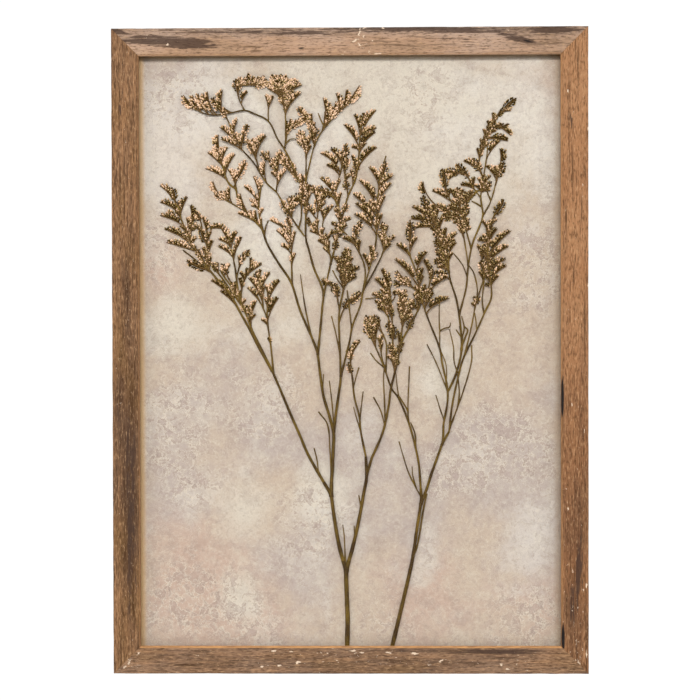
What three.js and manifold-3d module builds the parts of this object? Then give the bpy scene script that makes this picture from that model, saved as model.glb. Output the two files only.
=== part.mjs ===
// A pressed flower frame: a mitred wooden frame with glass, and behind it two dried sprays on printed paper.
// Millimetres, +Z up, the front faces -Y. The origin is on the back of the top rail, at its middle.
import * as THREE from "three";
import { mergeVertices } from "three/addons/utils/BufferGeometryUtils.js";
import Module from "manifold-3d";

// Driving dimensions of the frame
const FRAME_WIDTH = 350;
const FRAME_HEIGHT = 475;
const FRAME_DEPTH = 20;
const RAIL_WIDTH = 20;
const LIP_THICKNESS = 4;
const LIP_REACH = 6;
const EDGE_CHAMFER = 0.8;
const INNER_BEVEL = 1.4;
const MITRE_RELIEF = 0.2;

// What lies in the rebate, from the front to the back
const CLEARANCE = 0.3;
const GLASS_THICKNESS = 2;
const FLOWER_SPACE = 4;
const PRINT_THICKNESS = 0.6;
const BACK_THICKNESS = 3;
const BACK_REACH = 3;

// The fastenings on the back
const TAB_LENGTH = 16;
const TAB_WIDTH = 8;
const TAB_THICKNESS = 0.6;
const TAB_SPREAD_ACROSS = 160;
const TAB_SPREAD_UP = 260;
const HANGER_LENGTH = 46;
const HANGER_HEIGHT = 9;
const HANGER_THICKNESS = 0.8;
const HANGER_TEETH = 9;
const HANGER_TOOTH_PITCH = 3;
const HANGER_TOOTH_DEPTH = 1.8;
const HANGER_DROP = 40;
const RIVET_RADIUS = 2.2;
const RIVET_HEIGHT = 1.2;

// Depths behind the front face, worked out from the values above
const GLASS_FRONT = LIP_THICKNESS + CLEARANCE;
const PRINT_FRONT = GLASS_FRONT + GLASS_THICKNESS + FLOWER_SPACE;
const BACK_FRONT = PRINT_FRONT + PRINT_THICKNESS + CLEARANCE;
const BACK_REAR = BACK_FRONT + BACK_THICKNESS;
const GLASS_INSET = RAIL_WIDTH - LIP_REACH;
const BACK_INSET = GLASS_INSET - BACK_REACH;
const REBATE_WALL = BACK_INSET - CLEARANCE;
const FRAME_MIDDLE_UP = REBATE_WALL / 2 - FRAME_HEIGHT / 2;

// The sprays were traced by hand on a picture of the frame, 700 steps wide and high.
// One step of it is this many millimetres at the print, and the frame's middle is at this point of it.
const STEP = 0.742;
const PICTURE_MIDDLE = [350.7, 350.75];

// Where the flattened growth lies in front of the print: the middle of its thickness, and half of it
const LAYERS = {
  back: { middle: 0.75, half: 0.42 },
  middle: { middle: 2, half: 0.42 },
  front: { middle: 3.25, half: 0.42 },
  deep: { middle: 1.6, half: 1.1 },
};
const FORK_GAP = 0.3;
const END_HOLD = 1;
const STEM_FLATNESS = 0.85;
const SPIKE_FULLEST = 0.42;
const SPIKE_HALF_WIDTH = 1.1;
const SPIKE_SLENDERNESS = 0.1;
const SPIKE_THICKNESS = 0.34;
const SPIKE_LIFT = 0.12;

// Every branch has strands and spikes, in steps of the picture. A strand gives its width at the foot, its
// width at the end and its points. A spike, a short row of florets, gives its foot and its tip. A branch that
// grows from another starts where that one ends. The tall spray comes first, then the short one.
const BRANCHES = [
  {
    name: "tall_stem",
    layer: "deep",
    grows: false,
    strands: [
      [3.8, 3.3, [347, 647], [346, 569], [343.3, 560]],
      [3.2, 3, [346, 571], [349, 560]],
      [0.9, 0.6, [346.3, 566], [343, 524]],
    ],
    spikes: [],
  },
  {
    name: "tall_left_limb",
    layer: "deep",
    grows: true,
    strands: [
      [3.2, 2.3, [343.3, 560], [336.5, 530], [331, 494], [324, 481.5]],
      [2.8, 2.7, [331.2, 497], [331.8, 481]],
    ],
    spikes: [],
  },
  {
    name: "tall_outer_branch",
    layer: "back",
    grows: true,
    strands: [
      [2.3, 1, [324, 481.5], [309, 455], [274, 373], [254, 332], [243, 304], [242, 294], [243.5, 285],
        [247, 276], [252, 269]],
      [1.8, 0.9, [273, 371], [229, 290], [215, 275], [193, 244], [183.5, 222], [181, 207]],
      [1.4, 0.9, [273.5, 372], [271.5, 345], [268, 318], [268.5, 287]],
      [0.9, 0.8, [268, 319], [265, 310], [257.5, 295]],
      [0.9, 0.7, [264, 307], [259, 273]],
      [1.1, 0.8, [242, 304], [228, 275]],
      [1.1, 0.8, [241, 303], [236, 267], [231, 240]],
      [0.9, 0.7, [238, 277], [241, 265], [249.5, 252]],
      [1, 0.8, [211, 270], [208.5, 248], [208.5, 230]],
      [0.9, 0.7, [191.5, 241], [192, 230], [194.5, 214]],
      [0.8, 0.7, [180.8, 210], [177.5, 204], [174, 193]],
      [0.7, 0.5, [319.5, 473], [314.5, 447.5]],
    ],
    spikes: [
      [174.5, 195, 160.5, 184.5], [175, 199, 173.5, 186.5], [178.5, 207.5, 160.3, 201.2],
      [181.3, 209, 189.2, 195.8], [181.5, 220, 160, 214.5], [186.5, 237, 164.5, 228],
      [190.5, 248, 166.3, 241.5], [192.5, 227, 194.8, 212], [194.5, 217, 191, 204], [191, 232, 187, 216],
      [207.8, 242, 201, 227.5], [208.6, 231, 203, 216], [205.5, 221, 196, 211.3], [230, 239, 219, 223.3],
      [207.5, 258, 202.5, 246.5], [208, 268, 186.3, 260], [228, 276, 223, 262.5],
      [231.3, 243, 239.2, 230.8], [231, 242.5, 218.8, 238.5], [232.5, 252, 218.8, 246],
      [237.5, 250, 243.2, 235.8], [252.5, 270, 250.5, 256], [252.5, 272, 263.6, 263.5],
      [258.5, 296, 247.3, 286.8], [262.3, 291, 248.3, 276.5], [261, 283, 256, 270.5],
      [260.5, 284, 271.6, 272], [269, 295, 281.6, 279.3], [268.6, 313, 280.2, 296.3],
      [251, 322, 253.5, 309], [253, 313, 257.6, 299.3], [241, 303, 241, 289], [238.5, 298, 232.5, 285],
      [229.5, 291, 211, 279.5], [234, 301, 220.3, 290],
    ],
  },
  {
    name: "tall_centre_limb",
    layer: "deep",
    grows: true,
    strands: [
      [2.8, 2.2, [331.8, 481], [334, 432], [329.8, 415]],
      [2.1, 2, [333.9, 433], [336.3, 414]],
      [1, 0.7, [332, 478], [328, 424], [319, 411]],
      [0.7, 0.5, [334, 427], [330, 380]],
    ],
    spikes: [],
  },
  {
    name: "tall_upper_limb",
    layer: "deep",
    grows: true,
    strands: [
      [2.1, 1.7, [329.8, 415], [324, 395], [318, 352], [313.5, 339]],
      [1.7, 1.6, [318.3, 355], [320.2, 338]],
      [0.7, 0.5, [325, 401], [323.6, 388], [324.2, 373.5]],
    ],
    spikes: [],
  },
  {
    name: "tall_fan_branch",
    layer: "back",
    grows: true,
    strands: [
      [1.7, 1.2, [313.5, 339], [301, 310], [292, 282], [268, 243], [262.5, 228], [250, 215],
        [243, 206], [238.5, 196], [237, 189], [231, 184], [227, 177], [225, 168], [220.5, 160]],
      [1.1, 0.8, [292, 284], [292.6, 265], [291.5, 220]],
      [0.8, 0.6, [237.3, 191], [236.8, 181], [238.5, 174]],
      [0.9, 0.6, [246.5, 211], [222, 196.5]],
      [1.2, 0.9, [265, 233], [260, 212], [261.5, 191], [263.5, 182]],
      [0.8, 0.6, [265.5, 235], [267, 226], [269.5, 220]],
      [0.8, 0.5, [312, 337], [306.5, 310], [301.3, 274]],
    ],
    spikes: [
      [224, 175, 205.8, 167.8], [221, 162, 208.3, 151.8], [220.5, 160, 217.5, 144],
      [219, 151, 219.6, 133.5], [221, 160, 229.8, 146.5], [225, 169, 237.2, 153.3],
      [237.5, 179, 247.6, 158.8], [236.8, 180, 228.8, 168.3], [217.5, 194, 214, 180.3],
      [230, 201, 231.6, 186.2], [246, 210, 241, 192.3], [252.5, 219.5, 238.4, 212.8],
      [254, 195, 245, 185.8], [260, 208, 250.3, 199.5], [257.5, 222, 257, 209.5],
      [261.5, 191, 254, 175.3], [291.6, 235, 279, 222.8], [282, 226, 270, 219.3],
      [291.7, 241, 276.5, 229.5], [292, 246, 297.3, 230], [291.5, 229, 288, 215.5],
    ],
  },
  {
    name: "tall_diagonal_branch",
    layer: "front",
    grows: true,
    strands: [
      [1.2, 0.7, [305.5, 236], [293, 218], [277.5, 192], [268, 183], [255, 162.5], [241.5, 147],
        [233.5, 132], [228, 118], [222, 112], [219.5, 105]],
      [0.7, 0.6, [241.5, 147], [246.5, 132]],
      [0.9, 0.7, [262, 173], [256.5, 153]],
      [0.9, 0.7, [277.5, 193], [278.5, 184], [278, 175], [270, 160]],
      [0.8, 0.7, [293.5, 219], [294, 206], [297, 197]],
      [0.9, 0.7, [300, 228.5], [302.3, 218], [303, 196]],
    ],
    spikes: [
      [240, 145, 221.5, 139.5], [236.5, 139, 220.3, 126.8], [233, 131, 239.6, 118.8],
      [222.5, 112.5, 213, 97.3], [219.8, 107, 224.8, 89.3], [256.8, 155, 246.3, 139.7],
      [256.8, 154, 258, 139.5], [257, 146, 268.8, 135.7], [264, 177, 267, 160.5],
      [270.5, 161, 261.8, 151.7], [276, 170, 273, 157.5], [278.5, 182, 288.7, 168.7],
      [278, 175, 281.6, 152.7], [289.5, 212, 281.8, 200], [292, 216, 285, 204.5],
      [293.7, 212, 287.8, 197.2], [294.5, 206, 300.7, 192.7], [294, 208, 292.5, 194.5],
      [303, 200, 304, 186],
    ],
  },
  {
    name: "tall_crown_branch",
    layer: "middle",
    grows: true,
    strands: [
      [1.6, 0.7, [320.2, 338], [324, 291], [315, 268], [307, 238], [306, 197], [299, 176],
        [286, 149.5], [279, 139], [270, 121.5], [255, 113.5], [246, 110.5], [229, 113.8], [211, 114.8],
        [196, 109]],
      [1.3, 1.2, [324, 295], [327.5, 281]],
      [1.1, 0.7, [306.3, 192], [310.5, 166], [316.5, 144], [326, 128], [340, 113], [352, 102.5]],
      [0.8, 0.6, [316, 146], [315, 135], [309, 120]],
      [0.9, 0.6, [307.7, 182], [306.8, 152], [302, 137]],
      [0.9, 0.7, [286, 150], [287, 140], [286, 110], [278, 92]],
      [0.8, 0.6, [287, 143], [290, 131.5], [301, 123.5]],
      [0.8, 0.6, [246.5, 110.7], [240.3, 98], [240, 90], [244, 86], [257, 85.5]],
      [0.7, 0.6, [270.3, 122], [269.8, 112], [271.5, 98]],
      [0.6, 0.5, [287, 144], [292, 139.3], [299, 139.6]],
      [0.6, 0.5, [326, 128], [319.5, 113.5]],
    ],
    spikes: [
      [197, 109.5, 184.3, 94.3], [199.5, 111, 194, 94], [204, 113, 199.7, 92.5],
      [208, 114.5, 204.7, 91.8], [212, 115, 209, 90.5], [240, 93, 236.8, 78.3], [240.3, 90, 242.6, 76.3],
      [246, 86.5, 249.9, 72.8], [257, 86, 265.3, 75.3], [254, 86, 267.5, 85.5], [240.5, 101, 250, 91.8],
      [278.5, 93, 267.3, 83.3], [277.5, 93, 273.5, 73.8], [278, 92, 278.7, 74.3],
      [278.5, 92, 284.7, 74.8], [279, 92, 289.3, 75.3], [280, 93, 305, 85], [280.5, 92, 299.8, 80.3],
      [284.5, 105, 282.3, 90.8], [285, 105, 289.7, 92.3], [285.5, 107, 296.8, 91.3],
      [286, 108, 303.7, 92.3], [289, 135, 286.8, 121.3], [290.3, 132, 291.6, 118.8],
      [345, 110, 336.8, 93.3], [347, 107.5, 347.6, 89.3], [350, 105, 361.2, 85.3],
      [350.5, 105, 356.7, 91.8], [332.5, 121.5, 337.5, 100.8], [332, 122, 324, 97],
      [331, 123, 330.7, 104.8], [326.5, 128.5, 326, 111.5], [315.3, 140, 317.7, 126.8],
      [314.8, 135, 310.3, 120.3], [312.5, 129, 313.4, 112.8], [310, 122.5, 299, 106.3],
      [303.5, 142, 301.3, 129.3], [304, 145, 306.5, 130.3], [306, 150, 307.5, 136.8],
      [306.8, 151.5, 313.7, 134.3], [302, 184, 295.5, 171.5], [303.5, 188, 303, 173],
      [306, 198, 299.8, 185.8], [306.3, 196, 309, 181.5], [306.7, 205, 312.8, 192.5],
      [306.5, 201, 312, 183.5],
    ],
  },
  {
    name: "tall_inner_branch",
    layer: "back",
    grows: true,
    strands: [
      [1.2, 0.8, [327.5, 281], [331.6, 262], [331, 255], [324.5, 239.5], [309.5, 223]],
      [1.2, 0.8, [331.5, 264], [349.2, 196], [356.6, 179], [359.5, 161], [362.6, 125]],
      [0.9, 0.7, [342.7, 219], [338, 199], [337, 189], [344, 161]],
      [0.8, 0.6, [349, 197], [346, 177], [348, 157]],
      [0.8, 0.6, [318, 232], [318.5, 215], [321, 200]],
      [0.7, 0.5, [323.5, 238], [324, 222], [326, 214]],
    ],
    spikes: [
      [339.3, 205, 343, 192.5], [337.3, 191, 320, 177.2], [341.7, 172, 327, 165.5],
      [343.5, 164, 320.6, 152.8], [344, 162, 331, 148.5], [348, 157, 346.5, 143.3],
      [345.5, 171, 341.7, 157.3], [348.5, 192, 346.7, 179.5], [356, 181, 350.7, 169.5],
      [357.6, 172, 352, 155], [357.8, 171, 357, 158], [362, 129, 354.7, 114.3], [362.4, 127, 378, 109.8],
      [362.3, 127, 366, 112.5], [360.5, 140, 344, 124], [361.5, 137, 378.6, 128],
      [361, 143, 377.4, 132.3], [359.8, 160, 379, 147], [320.5, 203, 311.8, 185.3],
      [320.7, 202, 327, 188], [321, 201, 333.7, 192], [325.7, 215, 335.2, 205.3],
    ],
  },
  {
    name: "tall_middle_limb",
    layer: "deep",
    grows: true,
    strands: [
      [2, 1.5, [336.3, 414], [341.2, 379], [341, 361]],
      [1.5, 1.4, [341.5, 376], [346, 358]],
    ],
    spikes: [],
  },
  {
    name: "tall_column_branch",
    layer: "middle",
    grows: true,
    strands: [
      [1.5, 1, [341, 361], [340, 312], [346, 275], [348.5, 252]],
      [0.8, 0.6, [340, 310], [336, 289]],
      [0.8, 0.6, [340.2, 322], [344.5, 309], [354, 296]],
      [0.8, 0.6, [344.5, 289], [333.5, 270]],
      [0.8, 0.5, [340.4, 354], [332.3, 315.5]],
    ],
    spikes: [
      [349, 302, 363, 291.8], [347.7, 262, 348.6, 247.3], [347.3, 264, 342.3, 251.3],
      [346.3, 272, 333.6, 256.3], [345.8, 278, 336.3, 267.8], [346.3, 274, 361.5, 267.3],
      [345.7, 281, 358, 274], [345.3, 284, 351, 271],
    ],
  },
  {
    name: "tall_right_branch",
    layer: "front",
    grows: true,
    strands: [
      [1.4, 0.9, [346, 358], [353, 326], [361.5, 304], [364, 291], [375.5, 270], [385, 248], [384, 229]],
      [1, 0.7, [363.6, 295], [366, 270], [359, 250.5], [347.5, 234.5], [341, 231], [334, 233.5]],
      [1, 0.8, [364.3, 292], [376.6, 243], [380.5, 178]],
      [0.9, 0.7, [352.8, 329], [348, 290]],
      [0.7, 0.6, [356.3, 246], [357.2, 233], [359.5, 226]],
      [0.6, 0.5, [386, 164], [387, 156.5]],
    ],
    spikes: [
      [380, 181, 369, 167], [380.5, 180, 387.5, 161.3], [380, 187, 395.2, 175.5],
      [379, 197, 393.2, 183.5], [378.8, 198, 359, 179.5], [377.8, 213, 386.7, 195.8],
      [377.7, 213, 364, 204], [367, 206.5, 353.3, 193.8], [377.3, 221, 355, 203],
      [377, 226, 353.6, 214.2], [377.2, 228, 384, 214], [384.7, 243, 396.7, 237.3],
      [384.3, 237, 389.7, 225.3], [384, 234, 382.5, 221.5], [384.8, 246, 377.3, 232.3],
      [372.3, 265, 362.5, 253.8],
    ],
  },
  {
    name: "tall_right_limb",
    layer: "deep",
    grows: true,
    strands: [
      [3, 2, [349, 560], [359, 520], [366.8, 477], [366.2, 456]],
      [2, 1.9, [367, 474], [372.3, 457]],
      [0.7, 0.5, [361.8, 508], [359, 494.5]],
      [0.7, 0.5, [356, 538], [354.3, 525]],
    ],
    spikes: [],
  },
  {
    name: "tall_side_branch",
    layer: "back",
    grows: true,
    strands: [
      [1.5, 0.8, [366.2, 456], [361, 430], [360, 417], [355, 397], [351, 360], [353, 349]],
      [0.6, 0.5, [360.3, 420], [363.7, 391]],
      [0.6, 0.5, [361, 430], [354, 406.5]],
      [0.6, 0.5, [353.8, 388], [359.5, 367]],
    ],
    spikes: [
      [352.3, 352, 361.5, 340.3], [351.3, 361, 355, 348.5], [351, 360, 350.3, 346.5],
    ],
  },
  {
    name: "tall_low_branch",
    layer: "middle",
    grows: true,
    strands: [
      [1.9, 1, [372.3, 457], [383, 432], [389.3, 404], [391, 390], [402.5, 341], [420.5, 306]],
      [1, 0.8, [400.5, 350], [404, 308]],
      [1, 0.8, [398, 362], [393.5, 345], [392.5, 312], [390, 284]],
      [0.9, 0.7, [420.3, 307], [417, 291], [406, 283]],
      [0.6, 0.5, [391.5, 297], [366, 298.5]],
      [0.9, 0.6, [386, 422], [384, 376], [385.5, 364]],
      [0.6, 0.5, [386, 425], [381, 410], [374, 396.5]],
    ],
    spikes: [
      [390.5, 289, 381, 267.5], [391, 292, 374, 278], [391.5, 301, 371.3, 293.3],
      [391.5, 301, 379.7, 288], [392.3, 309, 374.7, 301.3], [392.5, 314, 383.3, 299.5],
      [392.5, 316, 388, 302], [403.3, 322, 397.3, 307], [403.8, 312, 415.7, 307.3],
      [404, 309, 416.5, 300.3], [404, 310, 401.3, 295], [404, 309, 404, 289.3],
      [407.5, 284.5, 397, 269.5], [392.7, 335, 388.3, 320.3], [393, 340, 394.5, 324],
      [397.7, 363, 388.3, 348], [396.5, 369, 389.3, 355], [401, 345, 397.5, 331],
    ],
  },
  {
    name: "short_stem",
    layer: "deep",
    grows: false,
    strands: [
      [3.4, 2, [391.8, 647], [413, 556], [421.3, 499], [420.9, 488]],
      [1.2, 1, [413.3, 558], [417.8, 543], [427, 493]],
      [2.3, 2.1, [421, 503], [427.6, 486.5]],
      [0.8, 0.5, [420.5, 496], [408, 470], [399.3, 441]],
      [0.6, 0.5, [416.5, 488], [413, 475], [412.3, 466]],
    ],
    spikes: [],
  },
  {
    name: "short_left_branch",
    layer: "back",
    grows: true,
    strands: [
      [1.7, 0.7, [420.9, 488], [418.5, 460], [409, 422], [398.5, 397], [392, 388], [384, 365],
        [369, 332.5]],
      [0.7, 0.5, [408.7, 423], [408.3, 408], [410, 366]],
      [0.6, 0.5, [398.8, 399], [396.3, 372]],
      [0.7, 0.5, [384.5, 367], [376.5, 360], [371, 352.5]],
    ],
    spikes: [
      [372.5, 339, 366.8, 313.3], [372.8, 339, 371, 317], [373.3, 340, 381.7, 318.3],
      [373, 338, 377.7, 313.3], [373, 337, 374, 321],
    ],
  },
  {
    name: "short_limb",
    layer: "deep",
    grows: true,
    strands: [
      [2.1, 1.5, [427.6, 486.5], [443, 440], [443.6, 425]],
      [1.6, 1.5, [442, 445], [449.3, 431]],
    ],
    spikes: [],
  },
  {
    name: "short_cluster_branch",
    layer: "front",
    grows: true,
    strands: [
      [1.5, 0.8, [443.6, 425], [448, 394], [440, 348], [427.5, 316], [421.5, 297], [417, 273],
        [408, 250]],
      [0.6, 0.5, [447.3, 391], [436.5, 362.5], [427.3, 344]],
      [0.6, 0.5, [446.5, 387], [446.5, 366], [440.5, 349]],
      [0.6, 0.5, [439.3, 347], [439.8, 299]],
      [0.6, 0.5, [440, 332], [444.5, 328.3], [449.8, 327], [450.8, 322.5]],
      [0.8, 0.6, [424.5, 309], [431, 275], [428, 265]],
      [0.6, 0.5, [410.5, 256], [411, 229]],
      [0.7, 0.5, [443.9, 421], [436, 394.5]],
    ],
    spikes: [
      [418, 278, 394, 258.5], [409.5, 252, 396.4, 244.8], [410.2, 247, 418.5, 237.5],
      [410.2, 242, 411, 219.3], [414.5, 265, 428.9, 251.3], [419, 283, 424.5, 267.5],
      [430.3, 272, 423, 259.5], [429.5, 286, 449.5, 276.7], [425, 306, 451, 297.8],
      [425, 304, 428, 290.5], [421.5, 299, 427, 283.5],
    ],
  },
  {
    name: "short_column_branch",
    layer: "back",
    grows: true,
    strands: [
      [1.6, 0.9, [448.5, 391], [456.5, 373], [461.8, 350], [460.7, 325], [457, 300], [450.3, 278],
        [447.5, 252], [432.5, 216]],
      [1.1, 0.7, [459.8, 316], [466.5, 288], [469, 264], [473, 244], [483, 217], [481.3, 198],
        [483, 181], [480, 161], [494, 121.5], [503.5, 112]],
      [0.9, 0.7, [472, 250], [459, 201]],
      [0.8, 0.6, [469, 268], [464, 235]],
      [0.8, 0.6, [483, 218], [491.5, 201], [498.5, 174]],
      [0.7, 0.5, [482.8, 183], [487.3, 157], [488, 145]],
      [0.8, 0.6, [482, 191], [476, 191], [468, 177], [461, 172.5], [446, 174.3]],
      [0.7, 0.5, [481.3, 173], [477, 166], [470, 163.3]],
      [0.9, 0.6, [460.5, 214], [448.5, 196], [443.3, 177]],
      [0.8, 0.6, [482, 208], [472, 201.5]],
      [0.8, 0.6, [477, 191], [468, 203], [465, 226]],
      [0.6, 0.5, [490, 134], [497, 128], [509, 131.5]],
      [0.6, 0.5, [488, 140], [496, 137.3], [503, 139]],
      [0.6, 0.5, [468.3, 278], [463, 265], [454, 253.5]],
      [0.9, 0.6, [461.6, 340], [464.5, 328], [462, 316]],
      [0.8, 0.5, [461.3, 338], [456.5, 329.5]],
    ],
    spikes: [
      [503, 113, 516.5, 98.7], [492, 138.5, 509.5, 142.2], [487.5, 152, 501.5, 141.3],
      [497.5, 179, 504.7, 161.5], [504.5, 166, 500, 148.3], [498, 177, 485.5, 166.3],
      [478, 168, 463.3, 161.7], [480.3, 172, 472.3, 158.3], [461, 173, 443.3, 172.2],
      [466.5, 176, 456.3, 163.6], [469, 179, 463, 168], [446, 189, 443, 168], [449.5, 198.5, 432, 191],
      [459.3, 205, 449.8, 189.7], [459, 202, 458, 186.7], [459.2, 203, 464.8, 188.7],
      [467.8, 204, 471.8, 190.7], [467, 208, 462, 194.5], [459.8, 212, 448.7, 205.7],
      [434, 221, 410.5, 219], [433, 219, 411.5, 206.5], [432.8, 217, 422.5, 195], [424, 200, 424, 181],
      [433.3, 218, 424.5, 205], [433.3, 219, 436.3, 203.5], [435, 222, 441.5, 206.5],
      [435.5, 224, 413.8, 229], [438, 230, 445.5, 216.5], [444.5, 245, 458.5, 232.8],
      [447, 251, 457.8, 242.3], [441, 237, 430, 228], [443, 241, 434.7, 231.3],
      [449.2, 269, 436.7, 267.3], [450, 276, 434.7, 272.8], [443.5, 243, 447.7, 227.5],
    ],
  },
  {
    name: "short_outer_branch",
    layer: "middle",
    grows: true,
    strands: [
      [1.4, 0.9, [449.3, 431], [452.5, 404], [459.5, 372], [464, 357], [491.7, 296], [488.3, 262],
        [488.3, 233], [495.5, 213]],
      [0.9, 0.6, [450, 428], [463, 392], [471.5, 362], [471.8, 345]],
      [1, 0.7, [465, 355], [476, 304], [485, 277]],
      [0.8, 0.6, [476.5, 302], [477.5, 288], [474, 273], [469.5, 266]],
      [0.8, 0.6, [485, 313], [482.5, 301], [484.5, 281]],
      [0.6, 0.5, [459.3, 374], [454.5, 362], [453.8, 347], [449.8, 329]],
      [0.6, 0.5, [477.2, 331], [474.8, 313]],
    ],
    spikes: [
      [494.5, 215, 505, 199.7], [488.7, 241, 498.3, 228.5], [488.5, 250, 512.7, 230.3],
      [488.3, 256, 509.7, 246.5], [488.5, 266, 506.7, 259.5], [489.3, 274, 507.7, 265.5],
      [488.3, 254, 476.3, 246.8], [488.3, 263, 483, 245], [487, 274, 480, 260],
    ],
  },
];

const wasm = await Module();
wasm.setup();

// A geometry's corners and triangles as a solid, with triangles of no area left out
function solidOf(geometry) {
  const bare = new THREE.BufferGeometry();
  bare.setAttribute("position", geometry.getAttribute("position"));
  bare.setIndex(geometry.getIndex());
  const merged = mergeVertices(bare, 1e-5);
  const index = merged.getIndex().array;
  const triangles = [];
  for (let i = 0; i < index.length; i += 3) {
    const [a, b, c] = index.slice(i, i + 3);
    if (a !== b && b !== c && c !== a) triangles.push(a, b, c);
  }
  const vertProperties = Float32Array.from(merged.getAttribute("position").array);
  const triVerts = Uint32Array.from(triangles);
  return new wasm.Manifold(new wasm.Mesh({ numProp: 3, vertProperties, triVerts }));
}

// A solid as a geometry again
function geometryOf(solid) {
  const mesh = solid.getMesh();
  const geometry = new THREE.BufferGeometry();
  geometry.setAttribute("position", new THREE.BufferAttribute(Float32Array.from(mesh.vertProperties), 3));
  geometry.setIndex(new THREE.BufferAttribute(Uint32Array.from(mesh.triVerts), 1));
  geometry.computeVertexNormals();
  return geometry;
}

function piece(name, geometry, material) {
  const mesh = new THREE.Mesh(geometry, material);
  mesh.name = name;
  return mesh;
}

function finish(color, roughness, metalness = 0) {
  return new THREE.MeshStandardMaterial({ color, roughness, metalness });
}
const weatheredWood = finish(0x7a5a3c, 0.7);
const clearGlass = finish(0xf4f7f6, 0.05);
clearGlass.transparent = true;
clearGlass.opacity = 0.15;
const mottledPrint = finish(0xd9cbbb, 0.9);
const brownHardboard = finish(0x6b4a30, 0.85);
const zincSteel = finish(0xb4b6b4, 0.4, 0.9);
const driedStem = finish(0x5b4a26, 0.75);
const driedFlower = finish(0x7a5a40, 0.85);

// The rail's section: across from its outer edge, and the depth behind its front face
const RAIL_SECTION = [
  [0, EDGE_CHAMFER],
  [EDGE_CHAMFER, 0],
  [RAIL_WIDTH - INNER_BEVEL, 0],
  [RAIL_WIDTH, INNER_BEVEL],
  [RAIL_WIDTH, LIP_THICKNESS],
  [GLASS_INSET - CLEARANCE, LIP_THICKNESS],
  [GLASS_INSET - CLEARANCE, PRINT_FRONT - CLEARANCE],
  [REBATE_WALL, PRINT_FRONT - CLEARANCE],
  [REBATE_WALL, FRAME_DEPTH],
  [0, FRAME_DEPTH],
];

// A rail lying along X with its outer edge down: the section carried along, its ends sheared to the mitres
function railGeometry(length) {
  const section = new THREE.Shape(RAIL_SECTION.map(([across, depth]) => new THREE.Vector2(across, depth)));
  const geometry = new THREE.ExtrudeGeometry(section, { depth: length, bevelEnabled: false });
  const corners = geometry.getAttribute("position");
  for (let i = 0; i < corners.count; i += 1) {
    const across = corners.getX(i);
    const inset = across + MITRE_RELIEF;
    const along = corners.getZ(i) > length / 2 ? length - inset : inset;
    corners.setXYZ(i, length / 2 - along, corners.getY(i) - FRAME_DEPTH, across);
  }
  geometry.computeVertexNormals();
  return geometry;
}

function rails() {
  const sides = [
    ["frame_bottom_rail", FRAME_WIDTH, FRAME_HEIGHT, 0],
    ["frame_right_rail", FRAME_HEIGHT, FRAME_WIDTH, -Math.PI / 2],
    ["frame_top_rail", FRAME_WIDTH, FRAME_HEIGHT, Math.PI],
    ["frame_left_rail", FRAME_HEIGHT, FRAME_WIDTH, Math.PI / 2],
  ];
  return sides.map(([name, length, spread, turn]) => {
    const side = new THREE.Group();
    const rail = piece(name, railGeometry(length), weatheredWood);
    rail.position.z = -spread / 2;
    side.rotation.y = turn;
    side.add(rail);
    return side;
  });
}

// A flat sheet in the rebate, so far in from the frame's edge and so far behind its front
function sheet(name, inset, front, thickness, material) {
  const size = [FRAME_WIDTH - 2 * inset, thickness, FRAME_HEIGHT - 2 * inset];
  const flat = piece(name, new THREE.BoxGeometry(...size), material);
  flat.position.y = front + thickness / 2 - FRAME_DEPTH;
  return flat;
}

// Thin steel tabs that hold the backing: two on each rail, end to the rebate's wall, flat over the backing
function tabs() {
  const across = FRAME_WIDTH / 2 - REBATE_WALL - CLEARANCE - TAB_LENGTH / 2;
  const up = FRAME_HEIGHT / 2 - REBATE_WALL - CLEARANCE - TAB_LENGTH / 2;
  const depth = BACK_REAR + CLEARANCE + TAB_THICKNESS / 2 - FRAME_DEPTH;
  const places = [
    ["top", up, 0, TAB_SPREAD_ACROSS],
    ["right", across, Math.PI / 2, TAB_SPREAD_UP],
    ["bottom", up, Math.PI, TAB_SPREAD_ACROSS],
    ["left", across, -Math.PI / 2, TAB_SPREAD_UP],
  ];
  return places.flatMap(([side, reach, turn, spread]) =>
    [-0.5, 0.5].map((share, k) => {
      const holder = new THREE.Group();
      const strip = new THREE.BoxGeometry(TAB_WIDTH, TAB_THICKNESS, TAB_LENGTH);
      const tab = piece(`${side}_tab_${k + 1}`, strip, zincSteel);
      tab.position.set(share * spread, depth, reach);
      holder.rotation.y = turn;
      holder.add(tab);
      return holder;
    }),
  );
}

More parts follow.
